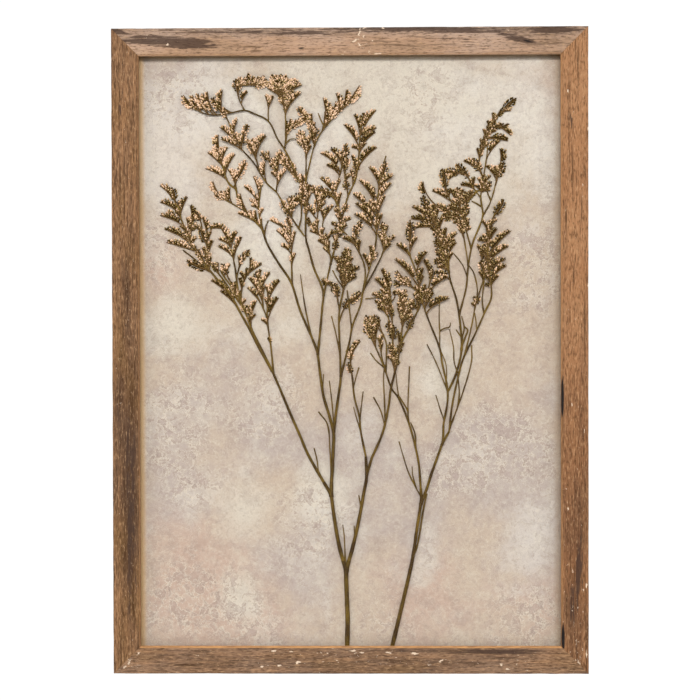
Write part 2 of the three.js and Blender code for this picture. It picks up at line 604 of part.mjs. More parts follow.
// A sawtooth hanger on the backing: a strip with teeth in its lower edge and a domed rivet at each end
function hanger() {
  const outline = new THREE.Shape();
  outline.moveTo(HANGER_LENGTH / 2, HANGER_HEIGHT);
  outline.lineTo(-HANGER_LENGTH / 2, HANGER_HEIGHT);
  outline.lineTo(-HANGER_LENGTH / 2, 0);
  for (let k = 0; k < HANGER_TEETH; k += 1) {
    const start = (k - HANGER_TEETH / 2) * HANGER_TOOTH_PITCH;
    outline.lineTo(start, 0);
    outline.lineTo(start + HANGER_TOOTH_PITCH / 2, HANGER_TOOTH_DEPTH);
  }
  outline.lineTo((HANGER_TEETH / 2) * HANGER_TOOTH_PITCH, 0);
  outline.lineTo(HANGER_LENGTH / 2, 0);
  outline.closePath();
  const strip = new THREE.ExtrudeGeometry(outline, { depth: HANGER_THICKNESS, bevelEnabled: false });
  const dome = [[0, 0], [1, 0], [1, 0.5], [0.4, 1], [0, 1]];
  const head = dome.map(([out, up]) => new THREE.Vector2(out * RIVET_RADIUS, up * RIVET_HEIGHT));
  const rivet = new THREE.LatheGeometry(head, 8).rotateX(Math.PI / 2);
  let solid = solidOf(strip);
  for (const end of [-1, 1]) {
    const place = [end * (HANGER_LENGTH / 2 - 2 * RIVET_RADIUS), HANGER_HEIGHT / 2, HANGER_THICKNESS / 2];
    solid = solid.add(solidOf(rivet.clone().translate(...place)));
  }
  const plate = piece("sawtooth_hanger", geometryOf(solid).rotateX(-Math.PI / 2).rotateY(Math.PI), zincSteel);
  plate.position.set(0, BACK_REAR + CLEARANCE - FRAME_DEPTH, FRAME_HEIGHT / 2 - HANGER_DROP);
  return plate;
}

// A point of the picture as millimetres across and up from the frame's middle
function onPrint([x, y]) {
  return new THREE.Vector2(x - PICTURE_MIDDLE[0], PICTURE_MIDDLE[1] - y).multiplyScalar(STEP);
}

// The point of some routes that lies nearest to a given one
function nearestOn(routes, point) {
  let best = null;
  for (const route of routes) {
    for (let i = 1; i < route.length; i += 1) {
      const leg = new THREE.Line3(
        new THREE.Vector3(route[i - 1].x, route[i - 1].y, 0),
        new THREE.Vector3(route[i].x, route[i].y, 0),
      );
      const at = leg.closestPointToPoint(new THREE.Vector3(point.x, point.y, 0), true, new THREE.Vector3());
      const found = new THREE.Vector2(at.x, at.y);
      if (best === null || found.distanceTo(point) < best.distanceTo(point)) best = found;
    }
  }
  return best;
}

// A turned blank laid along a route: its height is counted in points of the route, its radius goes across the
// route, and its thickness is pressed to the given share. It lies so far in front of the print, rising by the
// lift to its end.
function laid(profile, sides, route, flatness, forward, lift = 0) {
  const outline = profile.map(([radius, height]) => new THREE.Vector2(radius, height));
  const blank = new THREE.LatheGeometry(outline, sides);
  const widest = Math.sin((Math.PI * 2 * Math.round(sides / 4)) / sides);
  const corners = blank.getAttribute("position");
  for (let i = 0; i < corners.count; i += 1) {
    const height = corners.getY(i);
    const leg = Math.min(Math.floor(height), route.length - 2);
    const at = new THREE.Vector2().lerpVectors(route[leg], route[leg + 1], height - leg);
    const before = route[Math.max(Math.ceil(height) - 1, 0)];
    const after = route[Math.min(Math.floor(height) + 1, route.length - 1)];
    const way = after.clone().sub(before).normalize();
    const across = corners.getX(i) / widest;
    const depth = PRINT_FRONT - FRAME_DEPTH - forward - lift * height - corners.getZ(i) * flatness;
    corners.setXYZ(i, at.x + way.y * across, depth, at.y - way.x * across);
  }
  return solidOf(blank);
}

function strandSolid([footWidth, endWidth], route, layer) {
  const last = route.length - 1;
  const widths = route.map((_, i) => (THREE.MathUtils.lerp(footWidth, endWidth, i / last) * STEP) / 2);
  const sides = layer === LAYERS.deep ? 4 : 3;
  const flatness = Math.min(STEM_FLATNESS, layer.half / widths[0]);
  const profile = [[0, 0], ...widths.map((width, i) => [width, i]), [0, last]];
  return laid(profile, sides, route, flatness, layer.middle);
}

function spikeSolid(foot, tip, layer, number) {
  const length = foot.distanceTo(tip);
  const width = Math.min(SPIKE_HALF_WIDTH, SPIKE_SLENDERNESS * length);
  const lift = ((number % 3) - 1) * SPIKE_LIFT;
  const profile = [[0, 0], [width, SPIKE_FULLEST], [0, 1]];
  return laid(profile, 3, [foot, tip], SPIKE_THICKNESS / width, layer.middle, lift);
}

// One branch: its strands, each rooted on those before it and short of their ends, joined with its spikes
function branch({ name, layer, grows, strands, spikes }) {
  const lie = LAYERS[layer];
  const routes = [];
  let solid = null;
  for (const [footWidth, endWidth, ...points] of strands) {
    const route = points.map(onPrint);
    if (routes.length > 0) route[0] = nearestOn(routes, route[0]);
    else if (grows) route[0].add(route[1].clone().sub(route[0]).setLength(FORK_GAP));
    const [before, end] = route.slice(-2);
    routes.push([...route.slice(0, -1), end.clone().add(before.clone().sub(end).setLength(END_HOLD))]);
    const strand = strandSolid([footWidth, endWidth], route, lie);
    solid = solid === null ? strand : solid.add(strand);
  }
  spikes.forEach(([footX, footY, tipX, tipY], number) => {
    const foot = nearestOn(routes, onPrint([footX, footY]));
    solid = solid.add(spikeSolid(foot, onPrint([tipX, tipY]), lie, number));
  });
  return piece(name, geometryOf(solid), spikes.length > 0 ? driedFlower : driedStem);
}

const pressedFlowerFrame = new THREE.Group();
const middle = new THREE.Group();
middle.position.z = FRAME_MIDDLE_UP;
middle.add(
  ...rails(),
  sheet("glass", GLASS_INSET, GLASS_FRONT, GLASS_THICKNESS, clearGlass),
  sheet("printed_paper", BACK_INSET, PRINT_FRONT, PRINT_THICKNESS, mottledPrint),
  sheet("backing_board", BACK_INSET, BACK_FRONT, BACK_THICKNESS, brownHardboard),
  ...tabs(),
  hanger(),
  ...BRANCHES.map(branch),
);
pressedFlowerFrame.add(middle);

export default pressedFlowerFrame;
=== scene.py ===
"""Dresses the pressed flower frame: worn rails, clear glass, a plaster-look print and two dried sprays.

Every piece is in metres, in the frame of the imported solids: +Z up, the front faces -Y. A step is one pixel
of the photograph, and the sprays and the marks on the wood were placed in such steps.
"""

import math

import bpy
import numpy as np
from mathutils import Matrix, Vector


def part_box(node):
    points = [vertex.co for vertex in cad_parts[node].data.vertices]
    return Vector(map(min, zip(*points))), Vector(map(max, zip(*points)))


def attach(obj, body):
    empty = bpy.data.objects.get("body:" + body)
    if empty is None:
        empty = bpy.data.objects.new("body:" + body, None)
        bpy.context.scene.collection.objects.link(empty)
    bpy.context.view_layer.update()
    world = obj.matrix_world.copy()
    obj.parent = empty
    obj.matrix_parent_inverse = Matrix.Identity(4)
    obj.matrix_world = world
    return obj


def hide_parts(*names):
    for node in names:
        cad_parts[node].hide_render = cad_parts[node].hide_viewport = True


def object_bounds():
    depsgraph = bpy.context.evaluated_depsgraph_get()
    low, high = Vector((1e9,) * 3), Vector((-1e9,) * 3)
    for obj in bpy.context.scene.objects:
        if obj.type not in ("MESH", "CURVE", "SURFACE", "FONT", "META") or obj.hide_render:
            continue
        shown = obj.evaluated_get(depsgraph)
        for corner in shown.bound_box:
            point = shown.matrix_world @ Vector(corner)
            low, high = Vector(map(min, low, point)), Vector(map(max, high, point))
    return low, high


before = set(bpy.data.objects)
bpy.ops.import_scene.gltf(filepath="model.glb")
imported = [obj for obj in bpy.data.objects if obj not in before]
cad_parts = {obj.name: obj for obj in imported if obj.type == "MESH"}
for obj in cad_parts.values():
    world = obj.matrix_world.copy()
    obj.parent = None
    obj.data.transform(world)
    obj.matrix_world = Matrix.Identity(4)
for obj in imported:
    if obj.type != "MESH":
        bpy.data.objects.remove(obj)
CAD_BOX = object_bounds()

bl_info = {
    "name": "Pressed flower frame",
    "version": (1, 0, 0),
    "blender": (4, 5, 0),
    "location": "View3D > Sidebar > Pressed flowers",
    "description": "Builds a weathered wooden frame with two dried sprays behind glass",
    "category": "Object",
}

RAILS = {
    "frame_bottom_rail": 0.0,
    "frame_right_rail": -math.pi / 2,
    "frame_top_rail": math.pi,
    "frame_left_rail": math.pi / 2,
}
TABS = tuple(f"{side}_tab_{k}" for side in ("top", "right", "bottom", "left") for k in (1, 2))

PICTURE_MIDDLE = (350.7, 350.75)
MIDDLE_UP = (CAD_BOX[0][2] + CAD_BOX[1][2]) / 2
PRINT_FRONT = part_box("printed_paper")[0][1]
# How far the print shows to each side of the middle, and the height of its upper limit
PRINT_WINDOW = (0.1552, -0.0132)

# Where each layer of growth lies in front of the print, and half its thickness, in metres
LAYERS = {
    "back": (0.00085, 0.00050),
    "middle": (0.00200, 0.00050),
    "front": (0.00310, 0.00050),
    "deep": (0.00160, 0.00110),
}
# A branch leaves another at the root depth and settles to its own layer over this length
ROOT_DEPTH = 0.0016
SETTLE_LENGTH = 0.018
# A spike's foot within this many steps of a strand is set on it
SNAP_STEPS = 2.4
# Rings along a strand are this far apart
ROUTE_PITCH = 0.002
# Half a strand's width is this share of the width that was traced, and this much more
STRAND_SHARE = 0.56
STRAND_LEAST = 0.00020
# Shares of a spike: the ends of its rachis, its florets and its swelling, its bare foot, and its bend
RACHIS_END = 0.97
FLORETS_END = 0.92
SWELLING_END = 0.96
BARE_FOOT = 0.085
BEND = 0.22
# A rachis parts from its branch this share of a spike before the foot, or half as far as the foot is off
PARTING = 0.38
PARTING_OFF = 0.5
# A spike that points less than this to the side of its branch goes on in line with it
IN_LINE = 0.3
# Rows of florets across a spike, as shares of its fullness, and how much more each has browned
ROWS_IN_LINE = ((-0.42, 0.0, 0.42), (0.0, 0.1, 0.0))
ROWS_ASIDE = ((0.10, 0.42, 0.74), (0.22, -0.05, -0.15))
# Bloom, tint and age all over a rachis and a core
RACHIS_LOOK = (0.14, 0.5, 0.2)
CORE_LOOK = (0.06, 0.5, 0.2)
# Places of a branch's two materials
STEM, FLORET = 0, 1

# The frame's outer edges, in steps: left, right, top and bottom
FRAME_EDGES = (112, 590, 26, 675)
# A rail's round outer corner and straight inner bevel, in metres
CORNER = 0.0005
BEVEL = 0.0014
# The rebate's walls round the glass and the board, from the outer edge, and the depth where they change
GLASS_WALL = 0.0137
BOARD_WALL = 0.0107
WALL_CHANGE = 0.0100
# Depths of the rows of points down the lip's edge and up the outer side
LIP_ROW = 0.0027
SIDE_ROWS = (0.0120, 0.0050)
# Sections along a rail are this far apart
SECTION_PITCH = 0.001
# A solid rail is cut back this far at each mitre, and a dressed one only by the gap
MITRE_RELIEF = 0.0002
MITRE_GAP = 0.00003
# How far in from the outer edge its wear reaches, and how deep
OUTER_WEAR = (0.002, 0.003)
# How far before the inner edge its wear starts, over what length it grows, and how deep it reaches
INNER_WEAR = (0.0022, 0.0016, 0.0036)
# The most that the face rolls, and the depth where that has faded
FACE_ROLL = (0.0001, 0.001)
# How far before the inner edge the wood is bare, and over what length it becomes so
BARE_LIP = (0.0011, 0.0005)
# Behind this depth the wood was never stained, but for the outer side
BARE_BACK = (0.0042, 0.001)
OUTER_SIDE = 0.001

# Half the floor's side in metres, and the points along it
FLOOR_REACH = 1.8
FLOOR_POINTS = 13

# A strand gives its width at the foot, its width at the end and its points, all in steps.
# A spike, a short row of florets, gives its foot and its tip.
# A branch that grows starts at the end of another. Its age says how far its florets have browned.
BRANCHES = [
    {
        "name": "tall_stem",
        "layer": "deep",
        "grows": False,
        "age": 0.4,
        "strands": [
            (3.8, 3.3, (347, 647), (347.6, 620), (347, 600), (346.3, 580), (346, 569), (343.3, 560)),
            (3.2, 3, (346, 571), (349, 560)),
            (0.9, 0.6, (346.3, 566), (344.5, 537), (343, 524)),
        ],
        "spikes": [],
    },
    {
        "name": "tall_left_limb",
        "layer": "deep",
        "grows": True,
        "age": 0.12,
        "strands": [
            (3.2, 2.3, (343.3, 560), (340, 548), (336.5, 530), (333.5, 510), (331, 494), (324, 481.5)),
            (2.8, 2.7, (331.2, 497), (331.8, 481)),
        ],
        "spikes": [],
    },
    {
        "name": "tall_outer_branch",
        "layer": "back",
        "grows": True,
        "age": 0.55,
        "strands": [
            (2.3, 1, (324, 481.5), (309, 455), (300, 434), (290, 411), (280.5, 388), (274, 373),
             (262, 348), (254, 332), (247, 314), (243, 304), (242, 294), (243.5, 285), (247, 276),
             (252, 269)),
            (1.8, 0.9, (273, 371), (259, 346), (250.5, 329), (240, 310), (229, 290), (215, 275),
             (203, 259), (193, 244), (190.5, 236), (187, 229), (183.5, 222), (181.5, 214), (181, 207)),
            (1.4, 0.9, (273.5, 372), (273, 360), (271.5, 345), (268, 318), (268.8, 297), (268.5, 287)),
            (0.9, 0.8, (268, 319), (265, 310), (257.5, 295)),
            (0.9, 0.7, (264, 307), (262.5, 292), (259, 273)),
            (1.1, 0.8, (242, 304), (235, 288), (228, 275)),
            (1.1, 0.8, (241, 303), (239, 290), (236, 267), (232, 247), (231, 240)),
            (0.9, 0.7, (238, 277), (241, 265), (249.5, 252)),
            (1, 0.8, (211, 270), (208.5, 248), (208.5, 230)),
            (0.9, 0.7, (191.5, 241), (192, 230), (194.5, 214)),
            (0.8, 0.7, (180.8, 210), (177.5, 204), (174, 193)),
            (0.7, 0.5, (319.5, 473), (317.5, 460), (314.5, 447.5)),
            (1.2, 0.8, (209, 269), (200, 262), (192, 255.5), (184, 249.5)),
            (0.9, 0.7, (209, 250), (207, 240), (203, 231), (198, 226.5), (194.5, 230)),
            (1, 0.7, (231.5, 243), (229, 235), (224.5, 228.5), (219, 223.5), (214, 225.5), (211, 232)),
            (1.3, 1, (243, 306), (233, 292), (224, 279), (217, 270)),
            (1.2, 0.9, (240, 300), (232, 286), (225, 276), (221, 269)),
        ],
        "spikes": [
            (174.5, 195, 160.5, 184.5), (175, 199, 173.5, 186.5), (178.5, 207.5, 160.3, 201.2),
            (180.5, 209, 179, 199.5), (181.3, 209, 189.2, 195.8), (181.5, 220, 160, 214.5),
            (176, 218, 168, 210.5), (181.5, 217, 175.5, 211), (186.5, 237, 164.5, 228),
            (186.5, 232, 180, 225), (190.5, 248, 166.3, 241.5), (189, 241, 181.5, 236),
            (192.5, 227, 194.8, 212), (194.5, 217, 191, 204), (191, 232, 187, 216),
            (192, 243, 198.3, 236.8), (207.8, 242, 201, 227.5), (203, 230, 194.8, 225.3),
            (208.6, 231, 203, 216), (205.5, 221, 196, 211.3), (208.3, 241, 212.8, 231),
            (230, 239, 219, 223.3), (222, 226, 210.3, 228), (209, 250, 214.8, 239.5),
            (207.5, 258, 202.5, 246.5), (203, 258, 197.5, 247.5), (208, 268, 186.3, 260),
            (210, 267, 204.5, 256), (211, 267, 212.5, 256), (216, 271, 213.5, 261.5),
            (219, 272, 219.5, 261.5), (228, 276, 223, 262.5), (226, 272, 231.5, 263.5),
            (231.3, 243, 239.2, 230.8), (231, 242.5, 218.8, 238.5), (232.5, 252, 218.8, 246),
            (235, 257, 238.5, 246), (237.5, 250, 243.2, 235.8), (240.5, 265, 238.5, 254.5),
            (244.5, 261, 243.5, 251.5), (247, 258, 249.8, 249), (252.5, 270, 250.5, 256),
            (252, 272, 252.8, 262), (252.5, 272, 263.6, 263.5), (247, 278, 240, 272),
            (246.5, 277, 246.5, 267.5), (244, 287, 239, 277), (258.5, 296, 247.3, 286.8),
            (262.3, 291, 248.3, 276.5), (261, 283, 256, 270.5), (260.5, 284, 271.6, 272),
            (260, 277, 262.5, 269), (262.8, 291, 264.3, 282), (269, 293, 265.5, 284.5),
            (269, 295, 281.6, 279.3), (268.6, 313, 280.2, 296.3), (268, 306, 264.8, 297.5),
            (268.7, 304, 271, 295), (251, 322, 253.5, 309), (253, 313, 257.6, 299.3),
            (251, 321, 257.3, 313.8), (246.5, 312, 249.8, 305.5), (243.5, 305, 247.2, 299.3),
            (241, 303, 241, 289), (238.5, 298, 232.5, 285), (236, 292, 236, 282),
            (229.5, 291, 211, 279.5), (234, 301, 220.3, 290), (232, 296, 226, 286),
            (267.8, 322, 261.5, 319.3), (270.5, 343, 268, 337.5), (237, 291, 233, 281),
            (236, 290, 238, 281), (209, 262, 204, 250), (206, 262, 200, 254), (211, 262, 209, 252),
            (207, 256, 203, 247), (193, 246, 187, 238), (190, 243, 184, 233), (195, 250, 190, 243),
            (197, 252, 197, 245), (191, 236, 187, 228), (252, 316, 250, 307), (248, 311, 243, 304),
            (262, 300, 258, 290), (264, 296, 266, 286),
        ],
    },
    {
        "name": "tall_centre_limb",
        "layer": "deep",
        "grows": True,
        "age": 0.5,
        "strands": [
            (2.8, 2.2, (331.8, 481), (332.6, 470), (333.6, 450), (334, 432), (329.8, 415)),
            (2.1, 2, (333.9, 433), (336.3, 414)),
            (1, 0.7, (332, 478), (330.4, 450), (328, 424), (319, 411)),
            (0.7, 0.5, (334, 427), (332.5, 402), (330, 380)),
        ],
        "spikes": [],
    },
    {
        "name": "tall_upper_limb",
        "layer": "deep",
        "grows": True,
        "age": 0.12,
        "strands": [
            (2.1, 1.7, (329.8, 415), (324, 395), (320.5, 371), (318, 352), (313.5, 339)),
            (1.7, 1.6, (318.3, 355), (320.2, 338)),
            (0.7, 0.5, (325, 401), (323.6, 388), (324.2, 373.5)),
        ],
        "spikes": [],
    },
    {
        "name": "tall_fan_branch",
        "layer": "back",
        "grows": True,
        "age": 0.08,
        "strands": [
            (1.7, 1.2, (313.5, 339), (301, 310), (292, 282), (279, 262), (268, 243), (262.5, 228),
             (250, 215), (243, 206), (238.5, 196), (237, 189), (231, 184), (227, 177), (225, 168),
             (220.5, 160)),
            (1.1, 0.8, (292, 284), (292.6, 265), (291.5, 220)),
            (0.8, 0.6, (237.3, 191), (236.8, 181), (238.5, 174)),
            (0.9, 0.6, (246.5, 211), (238, 206), (222, 196.5)),
            (1.2, 0.9, (265, 233), (260, 212), (261.5, 191), (263.5, 182)),
            (0.8, 0.6, (265.5, 235), (267, 226), (269.5, 220)),
            (0.8, 0.5, (312, 337), (306.5, 310), (301.3, 274)),
        ],
        "spikes": [
            (224, 175, 205.8, 167.8), (221, 162, 208.3, 151.8), (220.5, 160, 217.5, 144),
            (219, 151, 219.6, 133.5), (221, 160, 229.8, 146.5), (225, 169, 237.2, 153.3),
            (237.5, 179, 247.6, 158.8), (236.8, 180, 228.8, 168.3), (237, 180, 235.5, 168.5),
            (225, 197.5, 214.8, 193.3), (217.5, 194, 214, 180.3), (226, 199, 221.8, 189.3),
            (230, 201, 231.6, 186.2), (230, 201, 226, 190), (246, 210, 241, 192.3),
            (252.5, 219.5, 238.4, 212.8), (260.5, 201, 252, 192), (254, 195, 245, 185.8),
            (260, 208, 250.3, 199.5), (260, 206, 252, 205.5), (254, 219, 252, 209),
            (257.5, 222, 257, 209.5), (260.2, 215, 265, 208.3), (261.5, 191, 254, 175.3),
            (262.5, 186, 259, 180), (262, 224, 263, 217.5), (291.6, 235, 279, 222.8),
            (282, 226, 270, 219.3), (291.7, 241, 276.5, 229.5), (292, 249, 281.3, 245.3),
            (292, 246, 297.3, 230), (291.5, 229, 288, 215.5), (292.3, 262, 297, 252.5),
            (222, 158, 224, 146), (227, 168, 232, 155),
        ],
    },
    {
        "name": "tall_diagonal_branch",
        "layer": "front",
        "grows": True,
        "age": 0.28,
        "strands": [
            (1.2, 0.7, (305.5, 236), (293, 218), (282, 199), (277.5, 192), (268, 183), (255, 162.5),
             (241.5, 147), (233.5, 132), (231.5, 125), (228, 118), (222, 112), (219.5, 105)),
            (0.7, 0.6, (241.5, 147), (244, 138), (246.5, 132)),
            (0.9, 0.7, (262, 173), (258.5, 162), (256.5, 153)),
            (0.9, 0.7, (277.5, 193), (278.5, 184), (278, 175), (270, 160)),
            (0.8, 0.7, (293.5, 219), (294, 206), (297, 197)),
            (0.9, 0.7, (300, 228.5), (302.3, 218), (303, 196)),
        ],
        "spikes": [
            (240, 145, 221.5, 139.5), (236.5, 139, 220.3, 126.8), (233, 131, 239.6, 118.8),
            (245.8, 135, 249.9, 124.3), (242.5, 147, 244.5, 136.5), (238.5, 141, 232.5, 130.5),
            (228, 118, 226, 109), (222.5, 112.5, 213, 97.3), (219.8, 107, 224.8, 89.3),
            (222, 112, 223.5, 100.5), (256.8, 155, 246.3, 139.7), (256.8, 154, 258, 139.5),
            (257, 146, 268.8, 135.7), (264, 177, 267, 160.5), (270.5, 161, 261.8, 151.7),
            (270.5, 161, 270.8, 151), (276, 170, 273, 157.5), (278.2, 177, 272, 173),
            (278.5, 182, 288.7, 168.7), (278, 175, 281.6, 152.7), (289.5, 212, 281.8, 200),
            (292, 216, 285, 204.5), (293.7, 212, 287.8, 197.2), (294.5, 206, 300.7, 192.7),
            (294, 209, 299.8, 204.3), (294, 208, 292.5, 194.5), (302.5, 207, 297.5, 196),
            (303, 200, 304, 186), (256, 155, 249, 140), (257, 150, 254, 138), (258, 148, 263, 136),
            (240, 146, 236, 132), (242, 145, 246, 130),
        ],
    },
    {
        "name": "tall_crown_branch",
        "layer": "middle",
        "grows": True,
        "age": 0.32,
        "strands": [
            (1.6, 0.7, (320.2, 338), (323, 308), (324, 291), (315, 268), (310, 250), (307, 238),
             (306.8, 215), (306, 197), (299, 176), (286, 149.5), (279, 139), (270, 121.5), (255, 113.5),
             (246, 110.5), (229, 113.8), (211, 114.8), (196, 109)),
            (1.3, 1.2, (324, 295), (327.5, 281)),
            (1.1, 0.7, (306.3, 192), (310.5, 166), (316.5, 144), (326, 128), (340, 113), (352, 102.5)),
            (0.8, 0.6, (316, 146), (315, 135), (309, 120)),
            (0.9, 0.6, (307.7, 182), (306.8, 152), (302, 137)),
            (0.9, 0.7, (286, 150), (287, 140), (286, 110), (278, 92)),
            (0.8, 0.6, (287, 143), (290, 131.5), (301, 123.5)),
            (0.8, 0.6, (246.5, 110.7), (240.3, 98), (240, 90), (244, 86), (257, 85.5)),
            (0.7, 0.6, (270.3, 122), (269.8, 112), (271.5, 98)),
            (0.6, 0.5, (287, 144), (292, 139.3), (299, 139.6)),
            (0.6, 0.5, (326, 128), (322, 120), (319.5, 113.5)),
            (1.4, 0.9, (299, 182), (292, 172), (286, 164), (280, 157)),
        ],
        "spikes": [
            (197, 109.5, 184.3, 94.3), (199.5, 111, 194, 94), (204, 113, 199.7, 92.5),
            (208, 114.5, 204.7, 91.8), (212, 115, 209, 90.5), (231, 113.8, 224.5, 106.5),
            (240, 93, 236.8, 78.3), (240.3, 90, 242.6, 76.3), (246, 86.5, 249.9, 72.8),
            (251, 86.5, 254.5, 75.8), (256, 86.5, 259.6, 76.3), (257, 86, 265.3, 75.3),
            (254, 86, 267.5, 85.5), (240.5, 101, 250, 91.8), (270.8, 105, 266.3, 95.3),
            (271, 104, 275.7, 96.3), (278.5, 93, 267.3, 83.3), (277.5, 93, 273.5, 73.8),
            (278, 92, 278.7, 74.3), (278.5, 92, 284.7, 74.8), (279, 92, 289.3, 75.3), (280, 93, 305, 85),
            (280.5, 92, 299.8, 80.3), (284.5, 105, 282.3, 90.8), (285, 105, 289.7, 92.3),
            (285.5, 107, 296.8, 91.3), (286, 108, 303.7, 92.3), (286.3, 113, 291.7, 104.3),
            (289, 135, 286.8, 121.3), (290.3, 132, 291.6, 118.8), (294, 128.5, 297.7, 119.3),
            (299, 125.5, 307.7, 118.3), (297.5, 126, 300.7, 117.8), (345, 110, 336.8, 93.3),
            (347, 107.5, 347.6, 89.3), (350, 105, 361.2, 85.3), (350.5, 105, 356.7, 91.8),
            (341, 113, 340.6, 101.3), (332.5, 121.5, 337.5, 100.8), (332, 122, 324, 97),
            (331, 123, 330.7, 104.8), (326.5, 128.5, 326, 111.5), (315.3, 140, 317.7, 126.8),
            (314.8, 135, 310.3, 120.3), (312.5, 129, 313.4, 112.8), (310, 122.5, 299, 106.3),
            (316, 143, 309.8, 134.3), (303.5, 142, 301.3, 129.3), (304, 145, 306.5, 130.3),
            (306, 150, 307.5, 136.8), (306.8, 151.5, 313.7, 134.3), (307, 154, 313.3, 145.8),
            (302, 184, 295.5, 171.5), (303.5, 188, 303, 173), (306, 198, 299.8, 185.8),
            (306.3, 196, 309, 181.5), (306.7, 205, 312.8, 192.5), (306.8, 207, 300.3, 198.5),
            (306.5, 201, 312, 183.5), (297, 171, 290.5, 162), (306.8, 216, 311, 206), (243, 86, 246, 77),
            (247, 86, 252, 78), (252, 85, 257, 77), (258, 85, 264, 77), (260, 85, 268, 79),
            (262, 85.5, 270, 82), (241, 89, 240, 79), (240.5, 92, 236, 84), (277, 93, 270, 82),
            (276, 94, 268, 87), (277, 92, 275, 75), (278, 92, 281, 75), (279, 92, 292, 79),
            (280, 92, 297, 80), (281, 92, 302, 82), (281, 91, 295, 86), (286, 104, 285, 93),
            (286, 103, 293, 92), (287, 104, 299, 94), (290, 131, 291, 121), (296, 126, 303, 119),
            (309, 124, 304, 112), (312, 128, 309, 117), (313, 132, 317, 122), (314, 134, 311, 124),
            (305, 148, 299, 132), (306, 148, 302, 133), (307, 150, 309, 138), (288, 167, 278, 151),
            (286, 164, 282, 149), (289, 168, 287, 153), (290, 170, 290, 157), (294, 176, 295, 163),
        ],
    },
    {
        "name": "tall_inner_branch",
        "layer": "back",
        "grows": True,
        "age": 0.5,
        "strands": [
            (1.2, 0.8, (327.5, 281), (331.6, 262), (331, 255), (324.5, 239.5), (309.5, 223)),
            (1.2, 0.8, (331.5, 264), (337, 243), (343.3, 217), (349.2, 196), (356.6, 179), (359.5, 161),
             (361.2, 136), (362.6, 125)),
            (0.9, 0.7, (342.7, 219), (338, 199), (337, 189), (342, 171), (344, 161)),
            (0.8, 0.6, (349, 197), (346, 177), (348, 157)),
            (0.8, 0.6, (318, 232), (318.5, 215), (321, 200)),
            (0.7, 0.5, (323.5, 238), (324, 222), (326, 214)),
            (1.5, 0.9, (339, 207), (335, 198), (329, 192.5), (318, 190), (307, 190)),
        ],
        "spikes": [
            (313, 226.5, 309.7, 216.3), (316.5, 230, 320.3, 219.3), (320, 234, 310.3, 231),
            (322, 236.5, 326, 227.5), (327, 245, 318.3, 240.3), (330, 252.5, 323.3, 247.5),
            (337, 244, 333.3, 235.5), (338, 239, 342, 228.5), (341, 228, 331.8, 223.8),
            (342.5, 222, 352.7, 219), (341, 213, 334.8, 210.3), (344.5, 213, 348.5, 203),
            (338.2, 200, 333.3, 193), (339.3, 205, 343, 192.5), (337.3, 191, 320, 177.2),
            (338, 188, 342, 180), (341.7, 172, 327, 165.5), (343.5, 164, 320.6, 152.8),
            (344, 162, 331, 148.5), (344, 162, 343, 150.3), (348, 157, 346.5, 143.3),
            (346, 179, 352.2, 175.3), (345.5, 171, 341.7, 157.3), (346.5, 168, 349.3, 158),
            (348.5, 192, 346.7, 179.5), (356, 181, 350.7, 169.5), (357.6, 172, 352, 155),
            (357.8, 171, 357, 158), (362, 129, 354.7, 114.3), (362.4, 127, 378, 109.8),
            (362.3, 127, 366, 112.5), (360.5, 140, 344, 124), (361.5, 137, 378.6, 128),
            (361, 143, 377.4, 132.3), (359.8, 160, 379, 147), (360, 149, 352.3, 147.7),
            (360.5, 152, 368, 143), (320.5, 203, 311.8, 185.3), (320.7, 202, 327, 188),
            (321, 201, 333.7, 192), (319, 211, 327, 202.5), (325.7, 215, 335.2, 205.3),
            (325, 217, 320.8, 208.5), (333, 196, 322, 189), (328, 192, 316, 187), (320, 190, 309, 184),
            (322, 191, 312, 193), (315, 190, 304, 187), (316, 215, 303, 203), (317, 212, 320, 196),
            (317, 231, 312, 223), (318, 232, 315, 224), (317, 230, 318, 221), (325, 240, 324, 231),
            (327, 244, 320, 240), (328, 243, 328, 233), (330, 250, 331, 240), (327, 242, 332, 236),
            (341, 222, 336, 214), (341, 218, 336, 206), (341, 229, 347, 222), (337, 250, 338, 240),
        ],
    },
    {
        "name": "tall_middle_limb",
        "layer": "deep",
        "grows": True,
        "age": 0.6,
        "strands": [
            (2, 1.5, (336.3, 414), (339, 395), (341.2, 379), (341, 361)),
            (1.5, 1.4, (341.5, 376), (346, 358)),
        ],
        "spikes": [],
    },
    {
        "name": "tall_column_branch",
        "layer": "middle",
        "grows": True,
        "age": 0.75,
        "strands": [
            (1.5, 1, (341, 361), (340, 335), (340, 312), (344.5, 288), (346, 275), (348.5, 252)),
            (0.8, 0.6, (340, 310), (338, 297), (336, 289)),
            (0.8, 0.6, (340.2, 322), (344.5, 309), (354, 296)),
            (0.8, 0.6, (344.5, 289), (338, 278.5), (333.5, 270)),
            (0.8, 0.5, (340.4, 354), (337, 335), (332.3, 315.5)),
            (1.1, 0.8, (337, 293), (331, 284), (325, 280)),
        ],
        "spikes": [
            (337, 293, 336, 282), (336.5, 292, 329.8, 281.7), (349, 302, 363, 291.8),
            (345, 309.5, 349.7, 298), (347.7, 262, 348.6, 247.3), (347.3, 264, 342.3, 251.3),
            (346.3, 272, 333.6, 256.3), (345.8, 278, 336.3, 267.8), (346.3, 274, 361.5, 267.3),
            (345.7, 281, 358, 274), (347, 267, 354.7, 257.3), (345, 285, 339.5, 275),
            (345.3, 284, 351, 271), (346.8, 268, 352.3, 263), (347, 262, 342, 252), (347, 262, 352, 253),
            (347, 258, 345, 248), (347, 258, 350, 249), (346.5, 268, 340, 258), (346.5, 268, 353, 259),
            (346, 272, 337, 265), (346, 272, 354, 264), (346, 277, 338, 268), (345.5, 282, 340, 272),
            (345.5, 282, 352, 274), (345.5, 285, 341, 278), (346, 284, 358, 277), (346, 276, 350, 266),
